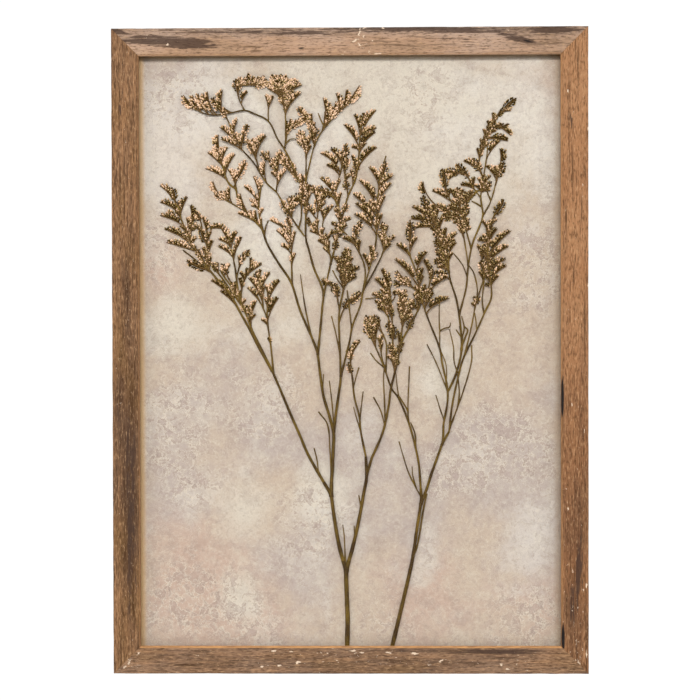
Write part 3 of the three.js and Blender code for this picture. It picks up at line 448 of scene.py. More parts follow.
            (346.5, 270, 347, 257), (346, 280, 345, 268), (346, 288, 349, 281), (346.5, 265, 336, 257),
            (337, 293, 333, 284), (338, 296, 337, 285), (331, 284, 322, 279),
        ],
    },
    {
        "name": "tall_right_branch",
        "layer": "front",
        "grows": True,
        "age": 0.5,
        "strands": [
            (1.4, 0.9, (346, 358), (350.5, 340), (353, 326), (361.5, 304), (364, 291), (375.5, 270),
             (385, 248), (384, 229)),
            (1, 0.7, (363.6, 295), (366, 270), (359, 250.5), (347.5, 234.5), (341, 231), (334, 233.5)),
            (1, 0.8, (364.3, 292), (371, 266), (376.6, 243), (377.6, 215), (380.5, 178)),
            (0.9, 0.7, (352.8, 329), (349.6, 304), (348, 290)),
            (0.7, 0.6, (356.3, 246), (357.2, 233), (359.5, 226)),
            (0.6, 0.5, (386, 164), (387, 156.5)),
        ],
        "spikes": [
            (353.5, 243, 342.3, 238), (358.5, 249.5, 362.2, 239.8), (358.5, 230, 362.5, 220.8),
            (341, 231.5, 330.3, 235.5), (345.5, 233.5, 340.5, 226), (380, 181, 369, 167),
            (380.5, 180, 387.5, 161.3), (380, 187, 395.2, 175.5), (379, 197, 393.2, 183.5),
            (378.8, 198, 359, 179.5), (377.8, 213, 386.7, 195.8), (377.7, 213, 364, 204),
            (367, 206.5, 353.3, 193.8), (377.3, 221, 355, 203), (377, 226, 353.6, 214.2),
            (378.3, 206, 368.7, 201), (377.2, 228, 384, 214), (385, 249.5, 392.7, 243.8),
            (384.7, 243, 396.7, 237.3), (384.3, 237, 389.7, 225.3), (384, 234, 382.5, 221.5),
            (384.8, 246, 377.3, 232.3), (372.3, 265, 362.5, 253.8), (373.3, 261, 379.2, 253.3),
            (374.8, 253, 369.3, 246), (373, 262, 374.5, 251.5), (342, 230, 349, 225),
            (356, 238, 357, 224), (356, 243, 352, 236), (384, 245, 380, 236), (384, 240, 383, 230),
            (374, 258, 370, 248), (374, 196, 370, 187),
        ],
    },
    {
        "name": "tall_right_limb",
        "layer": "deep",
        "grows": True,
        "age": 0.55,
        "strands": [
            (3, 2, (349, 560), (352, 550), (359, 520), (364.5, 490), (366.8, 477), (366.2, 456)),
            (2, 1.9, (367, 474), (372.3, 457)),
            (0.7, 0.5, (361.8, 508), (359, 494.5)),
            (0.7, 0.5, (356, 538), (354.3, 525)),
        ],
        "spikes": [],
    },
    {
        "name": "tall_side_branch",
        "layer": "back",
        "grows": True,
        "age": 0.55,
        "strands": [
            (1.5, 0.8, (366.2, 456), (361, 430), (360, 417), (355, 397), (353, 378), (351, 360),
             (353, 349)),
            (0.6, 0.5, (360.3, 420), (362, 404), (363.7, 391)),
            (0.6, 0.5, (361, 430), (356.5, 416), (354, 406.5)),
            (0.6, 0.5, (353.8, 388), (356.5, 377), (359.5, 367)),
        ],
        "spikes": [
            (352.3, 352, 361.5, 340.3), (351.3, 361, 355, 348.5), (351, 360, 350.3, 346.5),
            (352, 372, 348.3, 362),
        ],
    },
    {
        "name": "tall_low_branch",
        "layer": "middle",
        "grows": True,
        "age": 0.65,
        "strands": [
            (1.9, 1, (372.3, 457), (383, 432), (389.3, 404), (391, 390), (397.5, 363), (402.5, 341),
             (411, 325), (420.5, 306)),
            (1, 0.8, (400.5, 350), (403.3, 322), (404, 308)),
            (1, 0.8, (398, 362), (393.5, 345), (392.5, 312), (390, 284)),
            (0.9, 0.7, (420.3, 307), (417, 291), (406, 283)),
            (0.6, 0.5, (391.5, 297), (383, 297), (366, 298.5)),
            (0.9, 0.6, (386, 422), (384.8, 398), (384, 376), (385.5, 364)),
            (0.6, 0.5, (386, 425), (381, 410), (374, 396.5)),
            (1.1, 0.8, (393, 345), (392, 330), (389.5, 319), (386, 312), (383, 307)),
        ],
        "spikes": [
            (390.5, 289, 381, 267.5), (391, 292, 374, 278), (391.5, 301, 371.3, 293.3),
            (391.5, 301, 379.7, 288), (392.3, 309, 374.7, 301.3), (392.5, 314, 383.3, 299.5),
            (392.5, 316, 388, 302), (403.3, 322, 397.3, 307), (403.5, 319, 414.7, 316),
            (403.8, 312, 415.7, 307.3), (404, 309, 416.5, 300.3), (404, 310, 401.3, 295),
            (404, 309, 404, 289.3), (407.5, 284.5, 397, 269.5), (411, 286.5, 407.5, 276.5),
            (392.7, 335, 388.3, 320.3), (393, 340, 394.5, 324), (396, 352, 389.5, 342),
            (397.7, 363, 388.3, 348), (396.5, 369, 389.3, 355), (400, 351, 405, 343),
            (409, 328.5, 413, 317.5), (401, 345, 397.5, 331), (403, 318, 398, 306), (403, 312, 397, 303),
            (404, 308, 409, 299), (404, 303, 399, 292), (404, 299, 408, 290), (405, 316, 413, 312),
            (404, 322, 399, 315), (403, 325, 408, 316), (404, 313, 414, 308), (405, 306, 416, 303),
            (403, 297, 396, 291), (400, 296, 393, 293), (412, 284, 404, 277), (410, 283, 399, 281),
            (413, 286, 407, 276), (402, 288, 396, 280), (388, 310, 377, 305), (388, 309, 384, 300),
            (385, 310, 378, 309), (396, 352, 389, 346), (397, 355, 393, 346), (398, 352, 400, 344),
            (394, 362, 387, 356), (396, 365, 391, 359), (396, 366, 397, 357), (419, 305, 413, 293),
            (420, 306, 416, 292), (420, 300, 418, 289), (419, 307, 409, 304),
        ],
    },
    {
        "name": "short_stem",
        "layer": "deep",
        "grows": False,
        "age": 0.7,
        "strands": [
            (3.4, 2, (391.8, 647), (400, 613), (409.5, 573), (413, 556), (416.8, 530), (421.3, 499),
             (420.9, 488)),
            (1.2, 1, (413.3, 558), (417.8, 543), (423.3, 510), (427, 493)),
            (2.3, 2.1, (421, 503), (427.6, 486.5)),
            (0.8, 0.5, (420.5, 496), (414, 483), (408, 470), (399.3, 441)),
            (0.6, 0.5, (416.5, 488), (413, 475), (412.3, 466)),
        ],
        "spikes": [],
    },
    {
        "name": "short_left_branch",
        "layer": "back",
        "grows": True,
        "age": 0.7,
        "strands": [
            (1.7, 0.7, (420.9, 488), (418.5, 460), (409, 422), (398.5, 397), (392, 388), (384, 365),
             (373, 340), (369, 332.5)),
            (0.7, 0.5, (408.7, 423), (408.3, 408), (410, 366)),
            (0.6, 0.5, (398.8, 399), (397.5, 385), (396.3, 372)),
            (0.7, 0.5, (384.5, 367), (376.5, 360), (371, 352.5)),
            (0.9, 0.7, (387, 371), (383, 360), (381, 347), (380, 340), (376, 337)),
            (0.9, 0.7, (389, 372), (387, 345), (385, 337), (382, 331)),
            (0.8, 0.7, (408.5, 410), (404, 403), (399.5, 396)),
            (0.9, 0.7, (417, 446), (415.5, 434), (411, 422)),
        ],
        "spikes": [
            (372.5, 339, 366.8, 313.3), (372.8, 339, 371, 317), (373.3, 340, 381.7, 318.3),
            (373, 338, 377.7, 313.3), (370.5, 335, 365, 326.3), (373, 337, 374, 321),
            (381, 345, 378, 338), (382, 350, 384, 343), (381, 341, 385, 334), (371, 328, 366, 319),
            (376, 327, 374, 315), (379, 328, 380, 316), (372, 332, 367, 327),
        ],
    },
    {
        "name": "short_limb",
        "layer": "deep",
        "grows": True,
        "age": 0.7,
        "strands": [
            (2.1, 1.5, (427.6, 486.5), (431, 475), (441, 447), (443, 440), (443.6, 425)),
            (1.6, 1.5, (442, 445), (449.3, 431)),
        ],
        "spikes": [],
    },
    {
        "name": "short_cluster_branch",
        "layer": "front",
        "grows": True,
        "age": 0.7,
        "strands": [
            (1.5, 0.8, (443.6, 425), (448, 394), (442.3, 362), (440, 348), (427.5, 316), (421.5, 297),
             (417, 273), (408, 250)),
            (0.6, 0.5, (447.3, 391), (436.5, 362.5), (427.3, 344)),
            (0.6, 0.5, (446.5, 387), (446.5, 366), (440.5, 349)),
            (0.6, 0.5, (439.3, 347), (440, 331), (439.5, 320), (439.8, 299)),
            (0.6, 0.5, (440, 332), (444.5, 328.3), (449.8, 327), (450.8, 322.5)),
            (0.8, 0.6, (424.5, 309), (431, 275), (428, 265)),
            (0.6, 0.5, (410.5, 256), (410.2, 240), (411, 229)),
            (0.7, 0.5, (443.9, 421), (440.5, 409), (436, 394.5)),
        ],
        "spikes": [
            (418, 278, 394, 258.5), (409.5, 252, 396.4, 244.8), (410.2, 247, 418.5, 237.5),
            (410.2, 242, 411, 219.3), (414.5, 265, 428.9, 251.3), (419, 283, 424.5, 267.5),
            (430.3, 272, 423, 259.5), (429.5, 286, 449.5, 276.7), (425, 306, 451, 297.8),
            (430.5, 280, 434, 269.5), (428, 297, 433, 288.3), (421, 294, 413.5, 286.5),
            (424, 304, 417, 295.5), (425, 304, 428, 290.5), (419.5, 286, 425, 275.5),
            (421.5, 299, 427, 283.5), (428, 300, 431, 288), (427, 303, 435, 292), (426, 300, 427, 287),
            (429, 297, 434, 288),
        ],
    },
    {
        "name": "short_column_branch",
        "layer": "back",
        "grows": True,
        "age": 0.72,
        "strands": [
            (1.6, 0.9, (448.5, 391), (456.5, 373), (461.8, 350), (460.7, 325), (457, 300), (450.3, 278),
             (447.5, 252), (432.5, 216)),
            (1.1, 0.7, (459.8, 316), (466.5, 288), (469, 264), (473, 244), (483, 217), (481.3, 198),
             (483, 181), (480, 161), (490.5, 130), (494, 121.5), (503.5, 112)),
            (0.9, 0.7, (472, 250), (466.5, 230), (459, 201)),
            (0.8, 0.6, (469, 268), (467, 254), (464, 235)),
            (0.8, 0.6, (483, 218), (491.5, 201), (498.5, 174)),
            (0.7, 0.5, (482.8, 183), (487.3, 157), (488, 145)),
            (0.8, 0.6, (482, 191), (476, 191), (468, 177), (461, 172.5), (446, 174.3)),
            (0.7, 0.5, (481.3, 173), (477, 166), (470, 163.3)),
            (0.9, 0.6, (460.5, 214), (448.5, 196), (443.3, 177)),
            (0.8, 0.6, (482, 208), (477, 204), (472, 201.5)),
            (0.8, 0.6, (477, 191), (468, 203), (465, 226)),
            (0.6, 0.5, (490, 134), (497, 128), (509, 131.5)),
            (0.6, 0.5, (488, 140), (496, 137.3), (503, 139)),
            (0.6, 0.5, (468.3, 278), (463, 265), (454, 253.5)),
            (0.9, 0.6, (461.6, 340), (464.5, 328), (462, 316)),
            (0.8, 0.5, (461.3, 338), (456.5, 329.5)),
            (1.6, 1, (449.5, 272), (446, 262), (442, 250), (439, 235), (436.5, 222), (433, 212)),
            (0.9, 0.7, (461, 218), (452, 214), (442, 209), (433, 208)),
            (0.9, 0.7, (492, 201), (489, 196), (487, 190)),
            (0.9, 0.7, (481, 199), (478, 194), (475, 190)),
            (1.6, 0.8, (462.5, 350), (462.5, 338), (460, 326)),
            (1.3, 0.8, (463, 346), (466, 336), (468, 330), (464, 326)),
        ],
        "spikes": [
            (503, 113, 516.5, 98.7), (503, 113, 511.7, 112), (499, 118, 501.7, 109.3),
            (495, 122, 492.3, 113.5), (493, 125, 498.7, 119), (491, 131, 487, 121.5),
            (487.5, 140, 483, 129.5), (484.5, 149, 480, 139.5), (480.8, 159, 476.7, 149),
            (484.5, 150, 490, 144.5), (496, 129.5, 504, 125), (503, 129, 511.8, 137),
            (501, 129, 508.5, 124.3), (492, 138.5, 509.5, 142.2), (487.5, 152, 501.5, 141.3),
            (497.5, 179, 504.7, 161.5), (504.5, 166, 500, 148.3), (498, 177, 485.5, 166.3),
            (498.3, 175, 493.3, 167.3), (478, 168, 463.3, 161.7), (480.3, 172, 472.3, 158.3),
            (480.5, 172, 478, 162.5), (482.8, 184, 491.7, 177.3), (482.5, 188, 492.7, 183.8),
            (481.8, 191, 474.7, 185.8), (482, 191, 490.7, 191.5), (482.8, 186, 477.7, 178.8),
            (461, 173, 443.3, 172.2), (466.5, 176, 456.3, 163.6), (469, 179, 463, 168),
            (458, 173.3, 448.8, 180.5), (473, 186, 476, 177.5), (446, 189, 443, 168),
            (449.5, 198.5, 432, 191), (459.3, 205, 449.8, 189.7), (459, 202, 458, 186.7),
            (459.2, 203, 464.8, 188.7), (467.8, 204, 471.8, 190.7), (467, 208, 462, 194.5),
            (459.8, 212, 448.7, 205.7), (461, 213, 469, 205.5), (462.5, 219, 470.5, 212.7),
            (461, 216, 451, 214.3), (464, 224, 470, 220.7), (464, 225, 452.7, 223),
            (466, 230, 471.3, 229.5), (464.3, 235, 458.3, 229.3), (466.3, 231, 466.3, 221),
            (449, 197, 453, 189.5), (434, 221, 410.5, 219), (433, 219, 411.5, 206.5),
            (432.8, 217, 422.5, 195), (424, 200, 424, 181), (433.3, 218, 424.5, 205),
            (433.3, 219, 436.3, 203.5), (435, 222, 441.5, 206.5), (435.5, 224, 413.8, 229),
            (438, 230, 445.5, 216.5), (444.5, 245, 458.5, 232.8), (447, 251, 457.8, 242.3),
            (441, 237, 430, 228), (443, 241, 434.7, 231.3), (445, 246, 435.7, 238.3),
            (446.5, 251, 436.7, 245.7), (447.8, 257, 437.7, 253.3), (448.5, 263, 438.2, 260.3),
            (449.2, 269, 436.7, 267.3), (450, 276, 434.7, 272.8), (443.5, 243, 447.7, 227.5),
            (448.3, 260, 454, 253), (440, 268, 436.5, 258), (445, 268, 441, 258), (446, 262, 448, 251),
            (441, 258, 437, 248), (445, 255, 447, 244), (439, 249, 435.5, 239), (443, 247, 444, 237),
            (438, 240, 435, 230), (440, 239, 443, 229), (437, 231, 434, 221), (438.5, 230, 441.5, 219),
            (436, 222, 432, 212), (460, 213, 445, 209), (458, 216, 443, 215), (455, 220, 441, 217),
            (452, 210, 436, 205), (447, 213, 433, 210), (462, 206, 452, 200), (464, 208, 468, 199),
            (466, 214, 468, 205), (463, 220, 467, 212), (460, 222, 452, 219), (462, 205, 457, 190),
            (464, 204, 461, 189), (466, 203, 466, 191), (468, 202, 471, 193), (463, 200, 455, 195),
            (467, 200, 474, 190), (463, 234, 456, 222), (464, 232, 459, 218), (463, 236, 459, 229),
            (465, 230, 470, 222), (449, 243, 443, 238), (449, 244, 447, 236), (450, 243, 457, 233.5),
            (450, 246, 456, 240), (448, 247, 442, 243), (449, 262, 438, 258), (448.5, 256, 437, 252),
            (449, 268, 438, 263), (481, 158, 478, 150), (482, 155, 480, 145), (483, 150, 482, 140),
            (485, 146, 484, 136), (486, 142, 485, 131), (487, 138, 490, 130), (488, 136, 487, 126),
            (489, 133, 493, 127), (490, 130, 489, 122), (491, 128, 495, 121), (493, 122, 497, 117),
            (489, 136, 497, 132), (472, 188, 461, 186), (483, 186, 489, 179), (484, 190, 493, 186),
            (483, 182, 486, 176), (498, 178, 496, 166), (498, 176, 502, 165), (478, 168, 475, 160),
            (480, 172, 478, 163),
        ],
    },
    {
        "name": "short_outer_branch",
        "layer": "middle",
        "grows": True,
        "age": 0.68,
        "strands": [
            (1.4, 0.9, (449.3, 431), (452.5, 404), (459.5, 372), (464, 357), (475, 334.5), (485.3, 311.5),
             (491.7, 296), (488.3, 262), (488.3, 233), (495.5, 213)),
            (0.9, 0.6, (450, 428), (463, 392), (471.5, 362), (471.8, 345)),
            (1, 0.7, (465, 355), (472, 325), (476, 304), (485, 277)),
            (0.8, 0.6, (476.5, 302), (477.5, 288), (474, 273), (469.5, 266)),
            (0.8, 0.6, (485, 313), (482.5, 301), (484.5, 281)),
            (0.6, 0.5, (459.3, 374), (454.5, 362), (453.8, 347), (449.8, 329)),
            (0.6, 0.5, (477.2, 331), (476, 320), (474.8, 313)),
            (0.8, 0.6, (484, 275), (482.5, 262), (481.5, 252), (477.5, 244)),
            (1, 0.8, (461, 408), (459.5, 392), (457.5, 374)),
        ],
        "spikes": [
            (494.5, 215, 505, 199.7), (490.8, 225, 498, 220), (489.5, 230, 481.3, 220.7),
            (488.5, 242, 477.3, 241.3), (488.7, 241, 498.3, 228.5), (488.5, 250, 512.7, 230.3),
            (488.3, 256, 509.7, 246.5), (488.5, 266, 506.7, 259.5), (489.3, 274, 507.7, 265.5),
            (488.3, 254, 476.3, 246.8), (488.3, 263, 483, 245), (487, 274, 480, 260),
            (489.5, 236, 493.5, 225.5), (484.8, 279, 478.3, 271.7), (490.5, 284, 499.3, 276),
            (476, 304, 472.8, 296.7), (476.5, 303, 478.8, 296), (475.8, 307, 471.3, 304.3),
            (488, 282, 483, 273), (490, 280, 487, 270), (488, 272, 484, 262), (491, 270, 494, 261),
            (487, 264, 484, 254), (490, 260, 494, 250), (487, 254, 483, 244), (489, 250, 493, 241),
            (487, 243, 482, 235), (489, 240, 492, 231), (489, 232, 485, 225), (490, 228, 494, 222),
            (484, 284, 489, 287), (482, 256, 477.5, 246), (482, 258, 483, 247),
        ],
    },
]

# How far each rail has greyed, how ruddy it is, and how strongly the raw inner edge of its lip shows: raw
# wood, and a painted highlight that is strongest on the bottom rail, whose edge faces up to the light
RAIL_TONES = {
    "frame_top_rail": (0.9, 0.0, 0.2),
    "frame_bottom_rail": (0.3, 0.1, 1.0),
    "frame_left_rail": (0.1, 0.1, 0.2),
    "frame_right_rail": (0.05, 0.8, 0.3),
}
# How far marks on the wood reach round its edges, in metres
MARK_DEPTH = 0.004
# Marks on the wood, in steps: middle across and down, half length, half width, turn in degrees and strength
DARK_STAINS = (
    (166, 41.5, 50, 6.2, 3, 1.0), (119, 31, 8, 2.4, 12, 0.9), (230, 31, 110, 3.0, 1, 0.50),
    (300, 35, 80, 3.2, 0, 0.45), (400, 30, 90, 2.6, 0, 0.50), (450, 40, 50, 1.8, 2, 0.40),
    (330, 50, 60, 1.4, 0, 0.40), (200, 47, 40, 1.6, 0, 0.35), (480, 47, 40, 1.8, 3, 0.42),
    (470, 32, 90, 5.0, 0, 0.55), (522, 41.5, 20, 3.2, 14, 1.0), (560, 32, 26, 5.0, 0, 0.75),
    (556, 44, 18, 2.2, 12, 0.5),
    (124, 95, 2.0, 14, 6, 0.6), (121, 106, 1.6, 16, -8, 0.5), (130, 430, 8, 85, 0, 0.45),
    (132, 560, 5.5, 95, 0, 0.62), (118, 400, 4, 60, 0, 0.5), (571, 122, 1.6, 14, -12, 0.7),
    (577, 96, 2, 9, 10, 0.6), (567, 330, 2.2, 34, 0, 0.4), (579, 560, 5, 48, 0, 0.55),
    (572, 600, 6, 40, 4, 0.55), (440, 650, 110, 2.6, 0, 0.6), (230, 666, 40, 2.4, 0, 0.5),
    (350, 655, 60, 2.6, 1, 0.4), (506, 652, 40, 3.4, 0, 0.55),
)
BLACK_MARKS = (
    (562.0, 398, 1.8, 24, 0, 1.0), (562.5, 637, 2.0, 15, 0, 1.0), (300, 54.5, 30, 0.8, 0, 0.5),
    (303, 49, 5, 0.9, 0, 0.7), (246, 49.5, 2, 0.9, 0, 0.6), (528, 43, 7, 1.4, 14, 0.6),
)
# Broad patches that lighten or darken the wood: lighter over much of the top rail and the upper right rail,
# darker on the lower side rails and the bottom rail
BROAD_SHADES = (
    (330, 44, 260, 16, 0, 0.42), (250, 50, 110, 6, 0, 0.20), (125, 130, 20, 190, 0, -0.18),
    (126, 500, 20, 190, 0, -0.52), (117, 570, 4, 80, 0, 0.40), (120, 100, 6, 60, 0, 0.12),
    (575, 120, 20, 160, 0, 0.40), (575, 330, 16, 90, 0, 0.10), (575, 560, 20, 170, 0, -0.54),
    (350, 660, 300, 18, 0, -0.46), (150, 50, 40, 6, 0, 0.35), (230, 30, 150, 7, 0, -0.55),
    (530, 33, 70, 12, 0, -0.55), (420, 30, 90, 5, 0, -0.30),
)
CHIPPED = (
    (372, 42, 18, 16, 0, 0.9), (130, 661, 16, 14, 45, 1.0), (290, 656, 60, 12, 0, 0.75),
    (390, 655, 60, 10, 0, 0.85), (500, 662, 60, 10, 0, 0.7), (574, 610, 12, 70, 0, 0.8),
    (574, 480, 10, 60, 0, 0.35), (322, 56, 30, 1.6, 0, 0.9), (574, 140, 10, 90, 0, 0.2),
    (578, 655, 8, 16, 0, 0.9), (126, 470, 8, 120, 0, 0.18), (200, 660, 60, 10, 0, 0.3),
)
BARE_SPOTS = (
    (262, 666, 2.4, 1.0, -8, 1.0), (280, 665, 2.4, 1.0, 0, 1.0), (298, 662, 3.2, 1.4, -20, 1.0),
    (275, 650, 3.0, 0.9, -10, 0.9), (292, 651, 2.6, 1.0, 0, 0.9), (353, 650, 4.0, 1.0, 0, 1.0),
    (362, 652, 3.0, 1.0, 0, 0.9), (388, 652, 3.4, 1.1, 10, 1.0), (414, 653, 4.6, 1.1, 0, 1.0),
    (430, 664, 2.6, 1.0, 0, 0.8), (441, 660, 3.0, 0.9, -20, 0.9), (501, 664, 2.0, 1.3, 0, 1.0),
    (507, 668, 2.2, 1.2, 0, 1.0), (513, 667, 1.6, 1.2, 30, 0.9), (516, 663, 2.0, 0.8, 0, 0.8),
    (138, 653, 2.4, 1.0, -40, 0.8), (131, 659, 2.2, 1.0, -40, 0.7), (124, 667, 2.4, 1.0, -40, 0.8),
    (128, 664, 1.6, 1.0, 0, 0.9), (586, 654, 0.9, 3.0, 0, 1.0), (579, 662, 2.4, 0.9, 40, 0.9),
    (361, 33, 1.0, 6.0, 12, 0.9), (366, 29, 4.0, 0.9, -30, 0.9), (356, 42, 3.4, 1.1, -30, 1.0),
    (361, 46, 1.1, 3.4, -30, 1.0), (384, 29, 3.6, 0.9, 40, 0.9), (380, 54.5, 8.0, 0.8, -2, 0.9),
    (371, 52, 0.8, 3.4, 14, 0.8), (365, 38, 0.9, 3.0, 8, 0.8), (305, 55, 3.4, 0.9, 0, 0.9),
    (327, 55.5, 6.0, 0.9, 0, 1.0), (344, 55.5, 4.0, 0.9, 0, 0.9), (149, 36, 1.0, 2.6, 10, 0.7),
    (170, 45, 3.0, 0.9, 10, 0.8), (508, 32, 2.4, 1.0, 40, 0.8), (568, 92, 1.0, 2.6, 0, 0.9),
    (588, 130, 0.8, 2.4, 0, 0.9), (583, 186, 0.8, 2.0, 0, 0.8), (588, 286, 0.9, 2.4, 0, 0.9),
    (572, 405, 0.9, 1.8, 0, 0.9), (584, 430, 0.8, 3.4, 0, 0.9), (566, 488, 0.9, 1.8, 0, 0.9),
    (568, 508, 0.9, 1.8, 0, 0.9), (590, 511, 0.8, 2.6, 0, 0.9), (572, 571, 0.9, 2.4, 0, 1.0),
    (586, 585, 0.8, 3.0, 0, 0.9), (583, 590, 0.8, 2.2, 0, 0.9), (121, 402, 0.9, 2.0, 20, 1.0),
)
MARKS = {"stain": DARK_STAINS, "black": BLACK_MARKS, "chips": CHIPPED, "bare": BARE_SPOTS}
# Tints of the print, in steps: middle across and down, and reach
PINK_TINTS = (
    (160, 265, 60), (185, 560, 130), (545, 600, 70), (420, 600, 90), (545, 100, 70), (230, 620, 90),
)
GREY_TINTS = (
    (180, 90, 85), (215, 395, 90), (440, 95, 80), (520, 440, 90), (400, 500, 90), (170, 480, 70),
    (300, 560, 70), (345, 440, 60), (285, 445, 50), (470, 455, 65), (530, 540, 75),
)
PEELED_SPOTS = (
    (175, 95, 60), (190, 405, 75), (270, 400, 60), (190, 470, 50), (175, 590, 70), (235, 610, 70),
    (475, 445, 60), (540, 450, 50), (430, 95, 45), (530, 620, 60), (300, 520, 50), (380, 620, 50),
    (540, 270, 60), (160, 250, 50), (450, 470, 50), (505, 425, 55), (150, 440, 45),
)
# Pale patches; the one at 305 across and 180 down is partly the print's own pale tone and partly painted
# light that lifts the shade the tall spray casts on the print there
PALE_TINTS = (
    (505, 115, 100), (220, 95, 60), (160, 120, 60), (175, 165, 70), (305, 180, 100), (525, 545, 60),
)
CREAM_TINTS = (
    (260, 260, 120), (370, 75, 110), (320, 490, 40), (500, 120, 110), (455, 380, 55), (170, 330, 50),
    (250, 120, 100), (430, 150, 110), (245, 510, 55), (240, 590, 40),
)
# The two layers of peeling on the print: shift, scale, roughness, level of its rims and strength
PEELING = (
    ((1, 0, 2), 84.0, 0.66, 0.47, 0.85),
    ((4, 0, 9), 210.0, 0.70, 0.45, 1.0),
)


def tone(red, green, blue):
    """A display colour, 0 to 255 a channel, as the linear colour that a shader takes."""
    share = np.array([red, green, blue]) / 255
    linear = np.where(share <= 0.04045, share / 12.92, ((share + 0.055) / 1.055) ** 2.4)
    return tuple(float(v) for v in linear)


def colour(name, description, default):
    """A colour setting."""
    return bpy.props.FloatVectorProperty(
        name=name, description=description, subtype="COLOR", size=3, min=0.0, max=1.0, default=default
    )


def length(name, description, default):
    """A length setting in metres."""
    return bpy.props.FloatProperty(
        name=name, description=description, default=default, min=0.0, precision=5, unit="LENGTH"
    )


def amount(name, description, default):
    """A plain number setting."""
    return bpy.props.FloatProperty(
        name=name, description=description, default=default, min=0.0, precision=3
    )


class RailSettings(bpy.types.PropertyGroup):
    """Sizes and colours of the four rails."""

    width: length("Rail width", "From the outer edge to the inner edge", 0.020)
    depth: length("Rail depth", "From the front to the back", 0.020)
    lip: length("Lip thickness", "Wood in front of the glass", 0.004)
    wear: length("Edge wear", "Most that the front edges are worn back", 0.00016)
    step: length("Step", "One pixel of the photograph at the front face", 0.0007364)
    grain_pale: colour("Pale grain", "Early wood", tone(153, 111, 74))
    grain_dark: colour("Dark grain", "Late wood and pores", tone(62, 38, 16))
    olive: colour("Olive grain", "Yellower wood in patches", tone(108, 78, 38))
    ruddy: colour("Ruddy grain", "Redder wood in patches", tone(148, 98, 66))
    grey: colour("Grey wear", "Weathered surface", tone(176, 152, 134))
    glint: colour("Glint", "Palest fibres", tone(192, 154, 114))
    stain: colour("Stain", "Dark stains", tone(58, 42, 34))
    black: colour("Black mark", "Burnt or painted marks", tone(30, 24, 22))
    chip: colour("Chip", "Bare wood and paint in chips", tone(218, 194, 168))
    # Raw wood of the inner edge, bright enough to stand also for a painted highlight where the bottom rail's
    # edge faces up to the light
    raw_and_highlight: colour("Raw edge", "Unstained wood of the inner edge", tone(206, 152, 98))


class PrintSettings(bpy.types.PropertyGroup):
    """Colours of the plaster-look print."""

    base: colour("Base", "Main tone", tone(183, 164, 147))
    cream: colour("Cream", "Pale patches", tone(198, 187, 173))
    pale: colour("Pale", "Cool white patches", tone(205, 196, 188))
    pink: colour("Pink", "Rosy patches", tone(181, 155, 140))
    grey: colour("Grey", "Cool patches", tone(170, 156, 150))
    under: colour("Under the skin", "Where the plaster has come off", tone(163, 143, 134))
    flake: colour("Flake edge", "Lit edges of the flakes", tone(208, 195, 178))
    crack: colour("Crack", "Shaded edges of the flakes", tone(138, 119, 112))
    # Painted shadow: the dark band that the top rail's lip casts on the paper, and the shade along the right
    # rail, set in the paper as brown
    edge: colour("Browned edge", "Paper that has browned at the top and on the right", tone(124, 94, 56))
    # Painted reflection: warm light thrown from the left rail onto the paper's edge, set in the paper as
    # gold
    rail_bounce_glow: colour("Golden edge", "Paper that has yellowed on the left", tone(216, 172, 116))


class SpraySettings(bpy.types.PropertyGroup):
    """Sizes and colours of the dried sprays."""

    step: length("Step", "One pixel of the photograph at the print", 0.000742)
    spike_width: length("Spike width", "Across a full spike", 0.0039)
    floret_length: length("Floret length", "From the bract to the mouth", 0.0026)
    floret_radius: length("Floret radius", "Half its width", 0.00070)
    floret_pitch: length("Floret pitch", "Between florets in a row", 0.00195)
    stem_dark: colour("Dark stem", "Shaded bark", tone(57, 38, 7))
    stem_pale: colour("Pale stem", "Dry olive bark", tone(112, 87, 30))
    bract: colour("Bract", "Brown scales at the foot of a floret", tone(66, 46, 9))
    withered: colour("Withered bract", "The same scales on an old branch", tone(43, 28, 2))
    calyx: colour("Calyx", "Tan middle of a floret", tone(196, 155, 117))
    calyx_old: colour("Old calyx", "The same on an old branch", tone(174, 143, 88))
    bloom_pink: colour("Pink bloom", "Rosy mouth of a floret", tone(235, 199, 173))
    bloom_straw: colour("Straw bloom", "Faded mouth of a floret", tone(233, 214, 165))


class StageSettings(bpy.types.PropertyGroup):
    """Camera, lights and floor."""

    lens: amount("Lens", "Focal length in millimetres on a sensor of 36", 75.0)
    camera_place: bpy.props.FloatVectorProperty(
        name="Camera place", description="Where the camera stands", size=3, subtype="TRANSLATION",
        unit="LENGTH", default=(0.01536, -1.0905, -0.21985),
    )
    camera_turn: bpy.props.FloatVectorProperty(
        name="Camera turn", description="How the camera is turned", size=3, subtype="EULER",
        unit="ROTATION", default=tuple(math.radians(v) for v in (89.392, 0.145, 0.815)),
    )
    key_power: amount("Key light", "Power of the soft light above, in watts", 88.0)
    fill_power: amount("Fill light", "Power of each side light, in watts", 20.0)
    sky: amount("Sky", "Strength of the white surroundings", 0.32)
    backdrop: amount("Backdrop", "Strength of the white that the camera sees", 1.05)
    floor_drop: length("Floor drop", "From the frame's lower edge to the floor", 0.6)
    floor: colour("Floor", "Pale floor", (0.9, 0.9, 0.89))


def settings():
    """The four groups of settings, on the scene."""
    scene = bpy.context.scene
    return scene.flower_rails, scene.flower_print, scene.flower_sprays, scene.flower_stage


